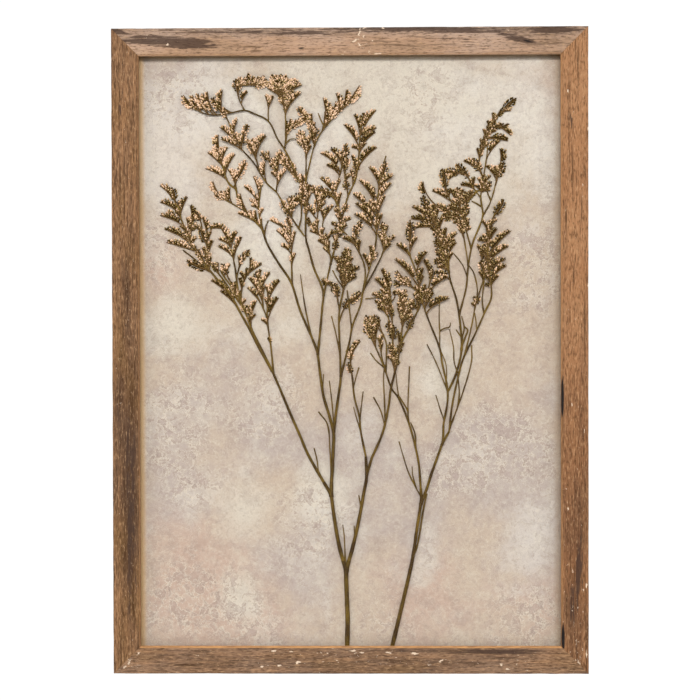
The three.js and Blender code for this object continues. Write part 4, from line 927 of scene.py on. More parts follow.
class Finish:
    """A material under way: its tree, a Principled shader, and short calls for the nodes that it needs."""

    def __init__(self, name, roughness):
        self.material = bpy.data.materials.new(name)
        self.material.use_nodes = True
        self.tree = self.material.node_tree
        self.tree.nodes.clear()
        self.shader = self.add("ShaderNodeBsdfPrincipled")
        self.shader.inputs["Roughness"].default_value = roughness
        self.output = self.add("ShaderNodeOutputMaterial")
        self.link(self.shader.outputs["BSDF"], self.output.inputs["Surface"])

    def add(self, kind, **settings_of):
        """A new node with its settings."""
        node = self.tree.nodes.new(kind)
        for key, value in settings_of.items():
            setattr(node, key, value)
        return node

    def link(self, source, target):
        """Joins an output to an input."""
        self.tree.links.new(source, target)

    def feed(self, socket, value):
        """Links a socket, or sets a plain value on it."""
        if isinstance(value, bpy.types.NodeSocket):
            self.link(value, socket)
        elif isinstance(value, (int, float)):
            socket.default_value = value
        else:
            value = tuple(value)
            socket.default_value = value + (1.0,) if len(socket.default_value) == 4 else value

    def place(self, scale=(1, 1, 1), shift=(0, 0, 0), turn=(0, 0, 0), source="Object"):
        """Coordinates of the piece, or of its UV map, scaled, turned and then shifted."""
        coordinates = self.add("ShaderNodeTexCoord")
        mapping = self.add("ShaderNodeMapping")
        self.link(coordinates.outputs[source], mapping.inputs["Vector"])
        mapping.inputs["Scale"].default_value = scale
        mapping.inputs["Location"].default_value = shift
        mapping.inputs["Rotation"].default_value = turn
        return mapping.outputs["Vector"]

    def noise(self, vector, scale, detail=4.0, roughness=0.55, distortion=0.0):
        """Smooth noise from 0 to 1 at each place."""
        node = self.add("ShaderNodeTexNoise")
        self.link(vector, node.inputs["Vector"])
        given = {"Scale": scale, "Detail": detail, "Roughness": roughness, "Distortion": distortion}
        for key, value in given.items():
            node.inputs[key].default_value = value
        return node.outputs["Fac"]

    def mask(self, name):
        """A number kept on the piece's points."""
        return self.add("ShaderNodeAttribute", attribute_name=name).outputs["Fac"]

    def math(self, operation, first, second=0.0, third=0.0):
        """A sum, a product or the like of up to three values."""
        node = self.add("ShaderNodeMath", operation=operation)
        for socket, value in zip(node.inputs, (first, second, third)):
            self.feed(socket, value)
        return node.outputs["Value"]

    def span(self, value, low, high, to_low=0.0, to_high=1.0):
        """A value from low to high, eased, onto another span."""
        node = self.add("ShaderNodeMapRange", interpolation_type="SMOOTHSTEP")
        given = {"Value": value, "From Min": low, "From Max": high, "To Min": to_low, "To Max": to_high}
        for key, setting in given.items():
            self.feed(node.inputs[key], setting)
        return node.outputs["Result"]

    def mix(self, share, first, second):
        """One colour on another, by a share."""
        node = self.add("ShaderNodeMix", data_type="RGBA", blend_type="MIX")
        self.feed(node.inputs["Factor"], share)
        self.feed(node.inputs[6], first)
        self.feed(node.inputs[7], second)
        return node.outputs[2]

    def paint(self, base, roughness=None, bump=None, depth=0.0):
        """Gives the shader its colour and, where asked, its roughness and a bump of a depth in metres."""
        self.feed(self.shader.inputs["Base Color"], base)
        if roughness is not None:
            self.feed(self.shader.inputs["Roughness"], roughness)
        if bump is not None:
            node = self.add("ShaderNodeBump")
            node.inputs["Distance"].default_value = depth
            self.link(bump, node.inputs["Height"])
            self.link(node.outputs["Normal"], self.shader.inputs["Normal"])
        return self.material


def wander(along, pitch, seed):
    """A smooth random line from 0 to 1: random knots at every pitch, eased from one to the next."""
    at = along / pitch
    low = np.floor(at).astype(int)
    knots = np.random.default_rng(seed).random(low.max() - low.min() + 2)
    share = at - low
    share = share * share * (3 - 2 * share)
    index = low - low.min()
    return knots[index] * (1 - share) + knots[index + 1] * share


def eased(value):
    """0 below 0, 1 above 1, and smooth between them."""
    value = np.clip(value, 0, 1)
    return value * value * (3 - 2 * value)


def from_steps(points, step):
    """Pixels of the photograph as metres across and up in the object's frame."""
    points = np.asarray(points, float)
    across = (points[..., 0] - PICTURE_MIDDLE[0]) * step
    up = (PICTURE_MIDDLE[1] - points[..., 1]) * step + MIDDLE_UP
    return np.stack([across, up], -1)


def new_piece(name, points, faces, nodes, materials, masks, choice=None, uv=None):
    """Puts whole arrays into one mesh object at the origin, which rides on the root in place of CAD nodes.

    faces is a list of index arrays, each a row per face. masks are numbers kept on the points. choice gives
    each face's material, and uv each point's place on the surface.
    """
    corners = np.concatenate([rows.ravel() for rows in faces]).astype(np.int32)
    sizes = np.concatenate([np.full(len(rows), rows.shape[1]) for rows in faces])
    starts = (np.cumsum(sizes) - sizes).astype(np.int32)
    mesh = bpy.data.meshes.new(name)
    mesh.vertices.add(len(points))
    mesh.vertices.foreach_set("co", np.asarray(points, np.float32).ravel())
    mesh.loops.add(len(corners))
    mesh.loops.foreach_set("vertex_index", corners)
    mesh.polygons.add(len(starts))
    mesh.polygons.foreach_set("loop_start", starts)
    for material in materials:
        mesh.materials.append(material)
    if choice is not None:
        mesh.polygons.foreach_set("material_index", np.asarray(choice, np.int32))
    for key, values in masks.items():
        kept = mesh.attributes.new(key, "FLOAT", "POINT")
        kept.data.foreach_set("value", np.asarray(values, np.float32))
    if uv is not None:
        layer = mesh.uv_layers.new(name="UVMap")
        layer.data.foreach_set("uv", np.asarray(uv, np.float32)[corners].ravel())
    mesh.update(calc_edges=True)
    if mesh.validate():
        raise RuntimeError(f"{name} has faces that Blender had to mend")
    piece = bpy.data.objects.new(name, mesh)
    bpy.context.scene.collection.objects.link(piece)
    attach(piece, "root")
    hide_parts(*nodes)
    return piece


def shade_smooth(piece, angle):
    """Smooth shading that keeps edges sharper than the angle."""
    piece.data.shade_smooth()
    piece.data.set_sharp_from_angle(angle=angle)


def ring_faces(rings, sides, flip=False):
    """Quads between neighbouring rings of a closed section, and one face at each end."""
    ring, side = np.meshgrid(np.arange(rings - 1), np.arange(sides), indexing="ij")
    ring, side = ring.ravel(), side.ravel()
    after = (side + 1) % sides
    quads = np.stack([ring * sides + side, (ring + 1) * sides + side,
                      (ring + 1) * sides + after, ring * sides + after], -1)
    ends = np.stack([np.arange(sides), (rings - 1) * sides + np.arange(sides)[::-1]])
    return (quads[:, ::-1], ends[:, ::-1]) if flip else (quads, ends)


def rail_under(across, down):
    """The rail that a mark lies on: the one whose outer edge is nearest."""
    left, right, top, bottom = FRAME_EDGES
    gaps = {"frame_left_rail": across - left, "frame_right_rail": right - across,
            "frame_top_rail": down - top, "frame_bottom_rail": bottom - down}
    return min(gaps, key=gaps.get)


def marked(name, x, z, marks, step):
    """The sum of a rail's oval marks at each point: full in the middle, fading to nothing past the rim."""
    across = PICTURE_MIDDLE[0] + x / step
    down = PICTURE_MIDDLE[1] - (z - MIDDLE_UP) / step
    total = np.zeros_like(x)
    for middle_x, middle_y, half_x, half_y, turn, strength in marks:
        if rail_under(middle_x, middle_y) != name:
            continue
        c, s = math.cos(math.radians(turn)), math.sin(math.radians(turn))
        dx, dy = across - middle_x, down - middle_y
        rim = ((c * dx + s * dy) / half_x) ** 2 + ((c * dy - s * dx) / half_y) ** 2
        total += strength * np.exp(-rim)
    return total


def rail_section(rails):
    """The rail's section as (across, depth) rows.

    It is a quarter circle at the outer corner, a flat face, a straight bevel, a lip and a stepped rebate.
    """
    turn = np.linspace(0, math.pi / 2, 5)
    outer = np.stack([CORNER * (1 - np.cos(turn)), CORNER * (1 - np.sin(turn))], -1)
    flat = np.linspace(CORNER, rails.width - BEVEL, 26)[1:-1]
    face = np.stack([flat, np.zeros_like(flat)], -1)
    slope = np.linspace(0, 1, 5)[:, None]
    inner = np.array([rails.width - BEVEL, 0]) + slope * BEVEL
    rest = [(rails.width, LIP_ROW), (rails.width, rails.lip), (GLASS_WALL, rails.lip),
            (GLASS_WALL, WALL_CHANGE), (BOARD_WALL, WALL_CHANGE), (BOARD_WALL, rails.depth),
            (0, rails.depth), *((0, depth) for depth in SIDE_ROWS)]
    return np.vstack([outer, face, inner, rest])


def rail_surface(name, turn, rails):
    """One rail: the section carried along, its ends cut back by the section's own width to make the mitres.

    A smooth random line wears the two front edges back, and the face rolls by a tenth of a millimetre.
    """
    low, high = (np.array(v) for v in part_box(name))
    upright = abs(math.sin(turn)) > 0.5
    span = (high - low)[2 if upright else 0] + 2 * MITRE_RELIEF
    spread = (CAD_BOX[1][0] - CAD_BOX[0][0]) if upright else (CAD_BOX[1][2] - CAD_BOX[0][2])
    section = rail_section(rails)
    seed = list(RAILS).index(name) + 1
    rows = int(span / SECTION_PITCH)
    share = np.linspace(0, 1, rows)[:, None]
    across, depth = (np.broadcast_to(section[:, k], (rows, len(section))).copy() for k in (0, 1))
    inset = across + MITRE_GAP
    along = inset + share * (span - 2 * inset)
    line = along[:, 0]
    reach, deep = OUTER_WEAR
    outer = eased(1 - across / reach) * eased(1 - depth / deep)
    before, grown, deep = INNER_WEAR
    inner = eased((across - rails.width + before) / grown) * eased(1 - depth / deep)
    worn_out = rails.wear * (wander(line, 0.012, seed) ** 2 + 0.4 * wander(line, 0.004, seed + 10))
    worn_in = rails.wear * (wander(line, 0.016, seed + 20) ** 2 + 0.4 * wander(line, 0.005, seed + 30))
    most, deep = FACE_ROLL
    roll = most * wander(line, 0.03, seed + 40)[:, None] * eased(1 - depth / deep)
    worn_u = across + outer * worn_out[:, None] - 0.8 * inner * worn_in[:, None]
    worn_d = depth + 0.6 * outer * worn_out[:, None] + 0.5 * inner * worn_in[:, None] + roll
    flat_x = span / 2 - along
    flat_z = worn_u - spread / 2
    c, s = math.cos(turn), math.sin(turn)
    x = flat_x * c + flat_z * s
    z = flat_z * c - flat_x * s + MIDDLE_UP
    points = np.stack([x, worn_d - rails.depth, z], -1).reshape(-1, 3)
    uv = np.stack([along + 0.9 * seed, across + 0.3 * depth + 0.11 * seed], -1).reshape(-1, 2)
    before, grown = BARE_LIP
    raw_and_highlight = eased((across - rails.width + before) / grown)
    behind, grown = BARE_BACK
    hidden = eased((depth - behind) / grown) * (across > OUTER_SIDE)
    return points, ring_faces(rows, len(section), flip=True), uv, np.maximum(raw_and_highlight, hidden).ravel()


def weathered_wood(rails):
    """Streaked brown wood on the rail's own map: along is the first coordinate, across the second."""
    wood = Finish("weathered_wood", 0.72)
    bands = wood.noise(wood.place((4, 70, 1), (3, 1, 0), source="UV"), 1.0, 3.0, 0.5, 0.5)
    streak = wood.noise(wood.place((18, 340, 1), source="UV"), 1.0, 5.0, 0.66, 0.4)
    fibre = wood.noise(wood.place((95, 820, 1), (2, 8, 0), source="UV"), 1.0, 4.0, 0.66)
    speckle = wood.noise(wood.place((240, 1000, 1), (6, 5, 0), source="UV"), 1.0, 2.0, 0.6)
    hue = wood.noise(wood.place((16, 50, 1), (9, 4, 0), source="UV"), 1.0, 3.0, 0.6)
    grain = wood.math("MULTIPLY", bands, 0.28)
    grain = wood.math("MULTIPLY_ADD", streak, 0.40, grain)
    grain = wood.math("MULTIPLY_ADD", fibre, 0.32, grain)
    grain = wood.math("MULTIPLY_ADD", wood.mask("shade"), 0.24, grain)
    base = wood.mix(wood.span(grain, 0.32, 0.66), rails.grain_dark, rails.grain_pale)
    base = wood.mix(wood.span(hue, 0.45, 0.75, 0.0, 0.55), base, rails.olive)
    ruddy = wood.math("MULTIPLY", wood.mask("ruddy"), wood.span(hue, 0.35, 0.70, 0.25, 0.60))
    base = wood.mix(ruddy, base, rails.ruddy)
    grey = wood.math("MULTIPLY", wood.mask("grey"), wood.span(hue, 0.25, 0.62, 0.80, 0.40))
    base = wood.mix(grey, base, rails.grey)
    cracks = wood.span(streak, 0.33, 0.43, 0.75, 0.0)
    cracks = wood.math("MAXIMUM", cracks, wood.span(fibre, 0.32, 0.45, 0.75, 0.0))
    cracks = wood.math("MAXIMUM", cracks, wood.span(speckle, 0.32, 0.47, 0.62, 0.0))
    base = wood.mix(cracks, base, rails.grain_dark)
    glints = wood.span(fibre, 0.58, 0.74, 0.0, 0.40)
    glints = wood.math("MAXIMUM", glints, wood.span(speckle, 0.54, 0.72, 0.0, 0.40))
    base = wood.mix(glints, base, rails.glint)
    ragged = wood.math("MULTIPLY_ADD", streak, 2.0, wood.math("MULTIPLY_ADD", fibre, 1.6, -1.8))
    stain = wood.span(wood.math("ADD", wood.mask("stain"), ragged), 0.40, 0.68)
    stain = wood.math("MULTIPLY", stain, wood.span(wood.mask("stain"), 0.05, 0.40, 0.0, 0.85))
    base = wood.mix(stain, base, rails.stain)
    flecks = wood.noise(wood.place((300, 760, 1), (5, 2, 0), source="UV"), 1.0, 3.0, 0.64, 0.4)
    clumps = wood.noise(wood.place((30, 90, 1), (1, 7, 0), source="UV"), 1.0, 2.0, 0.5)
    chips = wood.math("MULTIPLY_ADD", wood.mask("chips"), 0.13, flecks)
    chips = wood.math("MULTIPLY_ADD", clumps, 0.25, chips)
    chips = wood.span(chips, 0.87, 0.92)
    bare = wood.math("MULTIPLY_ADD", wood.math("SUBTRACT", flecks, 0.5), 2.6, wood.mask("bare"))
    chips = wood.math("MAXIMUM", chips, wood.span(bare, 0.44, 0.70))
    base = wood.mix(wood.math("MULTIPLY", chips, 0.88), base, rails.chip)
    # The raw inner edge of the lip: unstained wood, and on the bottom rail also a painted highlight where it
    # faces up to the light
    raw_and_highlight = wood.mix(wood.span(fibre, 0.35, 0.65), rails.raw_and_highlight, rails.grain_pale)
    base = wood.mix(wood.mask("raw_and_highlight"), base, raw_and_highlight)
    black = wood.math("MULTIPLY_ADD", ragged, 0.3, wood.mask("black"))
    base = wood.mix(wood.span(black, 0.30, 0.55), base, rails.black)
    height = wood.math("MULTIPLY_ADD", fibre, 0.5, wood.math("MULTIPLY", streak, 0.7))
    hollow = wood.math("MULTIPLY_ADD", chips, 0.4, wood.math("MULTIPLY", cracks, 0.4))
    height = wood.math("SUBTRACT", height, hollow)
    rough = wood.span(streak, 0.3, 0.8, 0.62, 0.82)
    wood.shader.inputs["Specular IOR Level"].default_value = 0.12
    return wood.paint(base, rough, height, 0.0004)


def clear_glass():
    """Thin clear glass: it lets light straight through and mirrors by its angle."""
    glass = Finish("clear_glass", 0.02)
    glass.shader.inputs["Base Color"].default_value = (1.0, 1.0, 1.0, 1.0)
    glass.shader.inputs["Metallic"].default_value = 1.0
    through = glass.add("ShaderNodeBsdfTransparent")
    through.inputs["Color"].default_value = (0.985, 0.992, 0.988, 1.0)
    angle = glass.add("ShaderNodeFresnel")
    angle.inputs["IOR"].default_value = 1.14
    blend = glass.add("ShaderNodeMixShader")
    glass.link(angle.outputs["Fac"], blend.inputs["Fac"])
    glass.link(through.outputs["BSDF"], blend.inputs[1])
    glass.link(glass.shader.outputs["BSDF"], blend.inputs[2])
    glass.link(blend.outputs["Shader"], glass.output.inputs["Surface"])
    return glass.material


def tint_mask(finish, spots, step):
    """The sum of round soft spots, each full in its middle and gone at its reach."""
    total = 0.0
    for across, down, reach in spots:
        x, z = from_steps((across, down), step)
        size = reach * step
        spot = finish.add("ShaderNodeTexGradient", gradient_type="SPHERICAL")
        place = finish.place((1 / size, 0, 1 / size), (-x / size, 0, -z / size))
        finish.link(place, spot.inputs["Vector"])
        total = finish.math("ADD", total, spot.outputs["Fac"])
    return total


def plaster_print(paper, step):
    """A mottled plaster look: soft clouds of tint, peeled patches in thin pale rims, fine cracks and grit.

    A rim is where a ragged noise comes near one value, so it runs round the patches like a line on a map.
    """
    wall = Finish("plaster_print", 0.9)
    wall.shader.inputs["Specular IOR Level"].default_value = 0.2
    plain = wall.place()
    cloud = wall.noise(plain, 24.0, 6.0, 0.62)
    blotch = wall.noise(wall.place(shift=(3, 0, 5)), 70.0, 5.0, 0.62)
    crumb = wall.noise(wall.place(shift=(7, 0, 1)), 380.0, 4.0, 0.66)
    speck = wall.noise(plain, 900.0, 2.0, 0.6)
    wobble = wall.math("MULTIPLY_ADD", cloud, 2.6, -1.3)
    base = paper.base
    for spots, shade, strength in (
        (PINK_TINTS, paper.pink, 0.90),
        (GREY_TINTS, paper.grey, 0.80),
        (CREAM_TINTS, paper.cream, 0.90),
        (PALE_TINTS, paper.pale, 0.65),
    ):
        near = wall.math("ADD", tint_mask(wall, spots, step), wobble)
        base = wall.mix(wall.span(near, 0.0, 0.9, 0.0, strength), base, shade)
    base = wall.mix(wall.span(blotch, 0.48, 0.75, 0.0, 0.45), base, paper.cream)
    base = wall.mix(wall.span(blotch, 0.28, 0.48, 0.30, 0.0), base, paper.crack)
    region = wall.math("ADD", tint_mask(wall, PEELED_SPOTS, step), wobble)
    region = wall.span(region, 0.1, 0.8, 0.32, 1.0)
    for shift, scale, rough, level, strength in PEELING:
        ragged = wall.noise(wall.place(shift=shift), scale, 8.0, rough, 0.4)
        patch = wall.span(ragged, level - 0.05, level, 0.50 * strength, 0.0)
        base = wall.mix(wall.math("MULTIPLY", patch, region), base, paper.under)
        for offset, share, shade in ((-0.022, 0.68, paper.crack), (0.004, 0.75, paper.flake)):
            rim = wall.math("ABSOLUTE", wall.math("SUBTRACT", ragged, level + offset))
            rim = wall.span(rim, 0.004, 0.024, share * strength, 0.0)
            base = wall.mix(wall.math("MULTIPLY", rim, region), base, shade)
    base = wall.mix(wall.span(crumb, 0.54, 0.72, 0.0, 0.34), base, paper.flake)
    base = wall.mix(wall.span(crumb, 0.30, 0.46, 0.30, 0.0), base, paper.crack)
    base = wall.mix(wall.span(speck, 0.35, 0.70, 0.0, 0.14), base, paper.crack)
    place = wall.add("ShaderNodeSeparateXYZ")
    wall.link(plain, place.inputs["Vector"])
    far, high = PRINT_WINDOW
    # Painted reflection: a golden glow of light thrown from the left rail onto the paper
    left = wall.span(place.outputs["X"], -far, 0.0045 - far, 0.70, 0.0)
    base = wall.mix(left, base, paper.rail_bounce_glow)
    # Painted shade along the right rail
    right = wall.span(place.outputs["X"], far - 0.0060, far - 0.0010, 0.0, 0.38)
    base = wall.mix(right, base, paper.edge)
    # Painted shadow: the dark band that the top rail's lip casts on the paper
    top = wall.span(place.outputs["Z"], high - 0.0045, high - 0.0008, 0.0, 0.80)
    base = wall.mix(top, base, paper.edge)
    return wall.paint(base, None, speck, 0.00004)


def hardboard():
    """Brown pressed fibre with a faint screen pattern on its face."""
    board = Finish("brown_hardboard", 0.8)
    fibre = board.noise(board.place((1, 1, 2.2)), 420.0, 5.0, 0.65, 0.5)
    cloud = board.noise(board.place(), 14.0, 4.0, 0.6)
    base = board.mix(board.span(fibre, 0.3, 0.75), tone(78, 52, 33), tone(132, 94, 62))
    base = board.mix(board.span(cloud, 0.35, 0.8, 0.0, 0.45), base, tone(96, 68, 46))
    wires = []
    for turn in (0.0, math.pi / 2):
        wave = board.add("ShaderNodeTexWave", wave_type="BANDS", bands_direction="X", wave_profile="SIN")
        board.link(board.place(turn=(0, turn, 0)), wave.inputs["Vector"])
        wave.inputs["Scale"].default_value = 95.0
        wires.append(wave.outputs["Fac"])
    screen = board.math("MULTIPLY", *wires)
    height = board.math("MULTIPLY_ADD", fibre, 0.6, screen)
    return board.paint(base, None, height, 0.00015)


def zinc_steel():
    """Zinc-plated steel with a fine brushed grain and cloudy roughness."""
    zinc = Finish("zinc_steel", 0.38)
    zinc.shader.inputs["Metallic"].default_value = 1.0
    brushed = zinc.noise(zinc.place((120, 900, 900)), 1.0, 3.0, 0.6)
    cloud = zinc.noise(zinc.place(), 240.0, 4.0, 0.6)
    base = zinc.mix(zinc.span(cloud, 0.3, 0.75), tone(158, 158, 152), tone(206, 207, 202))
    return zinc.paint(base, zinc.span(brushed, 0.3, 0.75, 0.28, 0.5), brushed, 0.00003)


def dried_stem(sprays):
    """Olive-brown dry bark: streaks of two tones and a fine wrinkled bump."""
    stem = Finish("dried_stem", 0.7)
    mottle = stem.noise(stem.place((1, 1, 0.25)), 700.0, 4.0, 0.6)
    patch = stem.noise(stem.place(), 90.0, 3.0, 0.55)
    blend = stem.math("MULTIPLY_ADD", mottle, 0.5, stem.math("MULTIPLY", patch, 0.5))
    uneven = stem.math("SUBTRACT", stem.mask("tint"), 0.5)
    blend = stem.math("MULTIPLY_ADD", uneven, 0.35, blend)
    base = stem.mix(stem.span(blend, 0.25, 0.80), sprays.stem_dark, sprays.stem_pale)
    stem.shader.inputs["Specular IOR Level"].default_value = 0.2
    return stem.paint(base, None, mottle, 0.0001)


def dried_floret(sprays):
    """A floret from its brown bract over a tan calyx to a rosy or straw mouth, browned by its age."""
    floret = Finish("dried_floret", 0.8)
    crumple = floret.noise(floret.place(), 1400.0, 3.0, 0.6)
    age = floret.mask("age")
    uneven = floret.math("SUBTRACT", crumple, 0.5)
    height = floret.math("MULTIPLY_ADD", uneven, 0.35, floret.mask("bloom"))
    height = floret.math("MULTIPLY_ADD", age, -0.54, floret.math("ADD", height, 0.20))
    rosy = floret.span(floret.mask("tint"), 0.25, 0.75)
    mouth = floret.mix(rosy, sprays.bloom_straw, sprays.bloom_pink)
    old = floret.span(age, 0.3, 0.75)
    scale = floret.mix(old, sprays.bract, sprays.withered)
    tan = floret.mix(old, sprays.calyx, sprays.calyx_old)
    # Where bloom has dropped towards a floret's flanks the darker scale colour shows: painted shade between
    # neighbouring florets
    base = floret.mix(floret.span(height, 0.17, 0.50), scale, tan)
    base = floret.mix(floret.span(height, 0.46, 0.82), base, mouth)
    base = floret.mix(floret.span(age, 0.2, 1.0, 0.0, 0.28), base, scale)
    floret.shader.inputs["Specular IOR Level"].default_value = 0.05
    return floret.paint(base, None, crumple, 0.00012)


def smooth_route(points, pitch):
    """A cubic curve through the points, each leg cut into even shares no longer than the pitch.

    The slope at a point is that of the line from the one before to the one after, for each metre of leg.
    """
    points = np.asarray(points, float)
    legs = np.linalg.norm(np.diff(points, axis=0), axis=1)
    slope = np.vstack([points[1] - points[0], points[2:] - points[:-2], points[-1] - points[-2]])
    reach = np.concatenate([legs[:1], legs[1:] + legs[:-1], legs[-1:]])
    slope = slope / reach[:, None]
    cuts = np.maximum(np.ceil(legs / pitch).astype(int), 1)
    leg = np.repeat(np.arange(len(legs)), cuts)
    share = ((np.arange(cuts.sum()) - np.repeat(np.cumsum(cuts) - cuts, cuts)) / cuts[leg])[:, None]
    run = legs[leg][:, None]
    here = 2 * share**3 - 3 * share**2 + 1
    there = 3 * share**2 - 2 * share**3
    leaving = (share**3 - 2 * share**2 + share) * run
    arriving = (share**3 - share**2) * run
    curve = here * points[leg] + leaving * slope[leg] + there * points[leg + 1] + arriving * slope[leg + 1]
    return np.vstack([curve, points[-1:]])


def nearest_on(routes, point):
    """The nearest route point to a given one: its place, the way the route runs there, and its depth."""
    rows = np.vstack(routes)
    ways = np.vstack([np.gradient(route, axis=0) for route in routes])
    index = np.argmin(np.linalg.norm(rows[:, :2] - point, axis=1))
    way = ways[index, :2]
    return rows[index, :2], way / max(np.linalg.norm(way), 1e-9), rows[index, 2]


def bar_surface(route, radius, half, sides):
    """A tapering bar along a route of (across, up, forward) rows.

    Each row carries a ring that is pressed flat to the half thickness.
    """
    way = np.gradient(route[:, :2], axis=0)
    way = way / np.linalg.norm(way, axis=1, keepdims=True)
    turn = np.linspace(0, 2 * math.pi, sides, endpoint=False)
    flat = np.minimum(0.85 * radius, half)
    out = radius[:, None] * np.cos(turn)
    x = route[:, :1] + way[:, 1:] * out
    z = route[:, 1:2] - way[:, :1] * out
    y = PRINT_FRONT - route[:, 2:3] - flat[:, None] * np.sin(turn)
    return np.stack([x, y, z], -1).reshape(-1, 3), ring_faces(len(route), sides)


def floret_shape():
    """One floret of unit length: a narrow foot, a swelling calyx and a six-sided mouth that dips inside.

    Rows are (ahead, out, front), and the bloom of each point falls towards the two flanks, a painted shade
    where florets meet.
    """
    sides = 6
    turn = np.linspace(0, 2 * math.pi, sides, endpoint=False)
    rows = [np.stack([ahead + ripple * np.cos(3 * turn), wide * np.cos(turn), wide * np.sin(turn)], -1)
            for ahead, wide, ripple in ((0.28, 0.70, 0.0), (0.66, 1.0, 0.0), (0.96, 0.62, 0.06))]
    points = np.vstack([[(0, 0, 0)], *rows, [(0.92, 0, 0)]])
    # Painted shade: bloom drops towards the flanks, so the flanks take the darker bract colour in the gaps
    # between florets
    bloom = np.clip(points[:, 0] - 0.60 * points[:, 1] ** 2, 0, 1)
    side = np.arange(sides)
    after = (side + 1) % sides
    foot = np.stack([np.zeros(sides, int), 1 + side, 1 + after], -1)
    rim = 1 + (len(rows) - 1) * sides
    mouth = np.stack([rim + side, np.full(sides, rim + sides), rim + after], -1)
    return points, bloom, ring_faces(len(rows), sides)[0] + 1, np.vstack([foot, mouth])


def fullness(share):
    """How full a spike is along its length: it swells over the first third and rounds off near the tip."""
    return (0.60 + 0.40 * eased(share / 0.30)) * (1 - 0.56 * eased((share - 0.62) / 0.38))


def bent_path(start, bend, tip, share):
    """Places and unit ways on a curve from start to tip that leaves and arrives in line with the bend."""
    share = share[:, None]
    places = (1 - share) ** 2 * start + 2 * share * (1 - share) * bend + share**2 * tip
    ways = (1 - share) * (bend - start) + share * (tip - bend)
    return places, ways / np.linalg.norm(ways, axis=1, keepdims=True)


def spike_parts(start, foot, tip, way, forward, half, age, sprays, rng):
    """One spike: a dark rachis that leaves the branch and bends out, a core beside it, and rows of florets.

    The florets stand on the side that the branch grows to, each row further from the rachis by a share of
    the fullness there. A spike that goes on in line with its branch bears rows on both sides.
    """
    run = tip - foot
    reach = np.linalg.norm(run)
    chord = np.array([run[1], -run[0]]) / reach
    turn = 1.0 if way @ chord >= 0 else -1.0
    both = abs(way @ chord) < IN_LINE
    plump = min(sprays.spike_width, 0.0013 + 0.18 * reach)
    bend = foot + BEND * run
    stalk = np.linalg.norm(foot - start)
    begin = stalk / (stalk + reach) + BARE_FOOT
    share = np.linspace(0, RACHIS_END, 11)
    line, _ = bent_path(start, bend, tip, share)
    rachis = bar_surface(np.column_stack([line, np.full(len(share), forward + 0.0001)]),
                         np.linspace(0.00046 + 0.012 * reach, 0.00034, len(share)), half, 5)
    share = np.linspace(begin, FLORETS_END, 7)
    line, ways = bent_path(start, bend, tip, share)
    across = turn * np.column_stack([ways[:, 1], -ways[:, 0]])
    wide = plump * fullness((share - begin) / (SWELLING_END - begin))
    middle = line + ((0.0 if both else 0.36) * wide)[:, None] * across
    core = bar_surface(np.column_stack([middle, np.full(len(share), forward - 0.0001)]),
                       0.36 * wide, 0.6 * half, 6)
    offsets, browned = ROWS_IN_LINE if both else ROWS_ASIDE
    count = max(int(reach / sprays.floret_pitch), 4)
    order, row = (grid.ravel() for grid in np.meshgrid(np.arange(count), np.arange(3), indexing="ij"))
    offset = np.array(offsets)[row]
    at = (order + 0.25 + 0.5 * (row % 2) + rng.uniform(-0.2, 0.2, len(row))) / count
    line, ways = bent_path(start, bend, tip, begin + (FLORETS_END - begin) * at)
    across = turn * np.column_stack([ways[:, 1], -ways[:, 0]])
    side = np.sign(offset + 0.001)
    lean = np.radians(50 - 24 * at + rng.normal(0, 9, len(row)))
    size = sprays.floret_length * (0.55 + 0.45 * fullness(at)) * rng.uniform(0.82, 1.18, len(row))
    size = size * min(1.0, 0.62 + reach / 0.035)
    facing = np.cos(lean)[:, None] * ways + (np.sin(lean) * side)[:, None] * across
    feet = line + (offset * plump * fullness(at))[:, None] * across
    depth = forward + 0.00014 - 0.00022 * np.abs(offset) + rng.normal(0, 0.00008, len(row))
    young = eased((at - 0.76) / 0.24)
    bare = np.array(browned)[row] + 0.25 * eased(1 - at / 0.2)
    age = np.clip(rng.normal(age, 0.16) + bare + rng.normal(0, 0.32, len(row)), 0, 1)
    return rachis, core, (feet, facing, size, depth, young, age)


def floret_cloud(rows, half, sprays, rng):
    """Many florets at once: the unit shape is stretched to each one's size and turned to its facing."""
    feet, facing, size, depth, young, age = rows
    shape, bloom, quads, tris = floret_shape()
    grown = 0.45 + 0.55 * size / sprays.floret_length
    wide = sprays.floret_radius * grown * rng.uniform(0.85, 1.18, len(size))
    thick = np.minimum(wide * 0.75, half - 0.0001)
    ahead, out, front = shape.T
    x = feet[:, :1] + facing[:, :1] * ahead * size[:, None] + facing[:, 1:] * out * wide[:, None]
    z = feet[:, 1:] + facing[:, 1:] * ahead * size[:, None] - facing[:, :1] * out * wide[:, None]
    y = PRINT_FRONT - depth[:, None] - front * thick[:, None]
    shift = (np.arange(len(size)) * len(shape))[:, None, None]
    return {
        "points": np.stack([x, y, z], -1).reshape(-1, 3),
        "faces": [(quads + shift).reshape(-1, 4), (tris + shift).reshape(-1, 3)],
        "bloom": (bloom * (1 - 0.22 * young)[:, None]).ravel(),
        "tint": np.repeat(np.clip(rng.normal(1.45 - 1.7 * age, 0.25), 0, 1), len(shape)),
        "age": np.repeat(age, len(shape)),
        "material": FLORET,
    }


def bar_part(surface, bloom, tint, age, material):
    """A bar with its bloom, tint and age, each one value or a row of them, ready to be joined."""
    points, (quads, ends) = surface
    flat = np.ones(len(points))
    return {
        "points": points,
        "faces": [quads, ends],
        "bloom": bloom * flat,
        "tint": tint * flat,
        "age": age * flat,
        "material": material,
    }


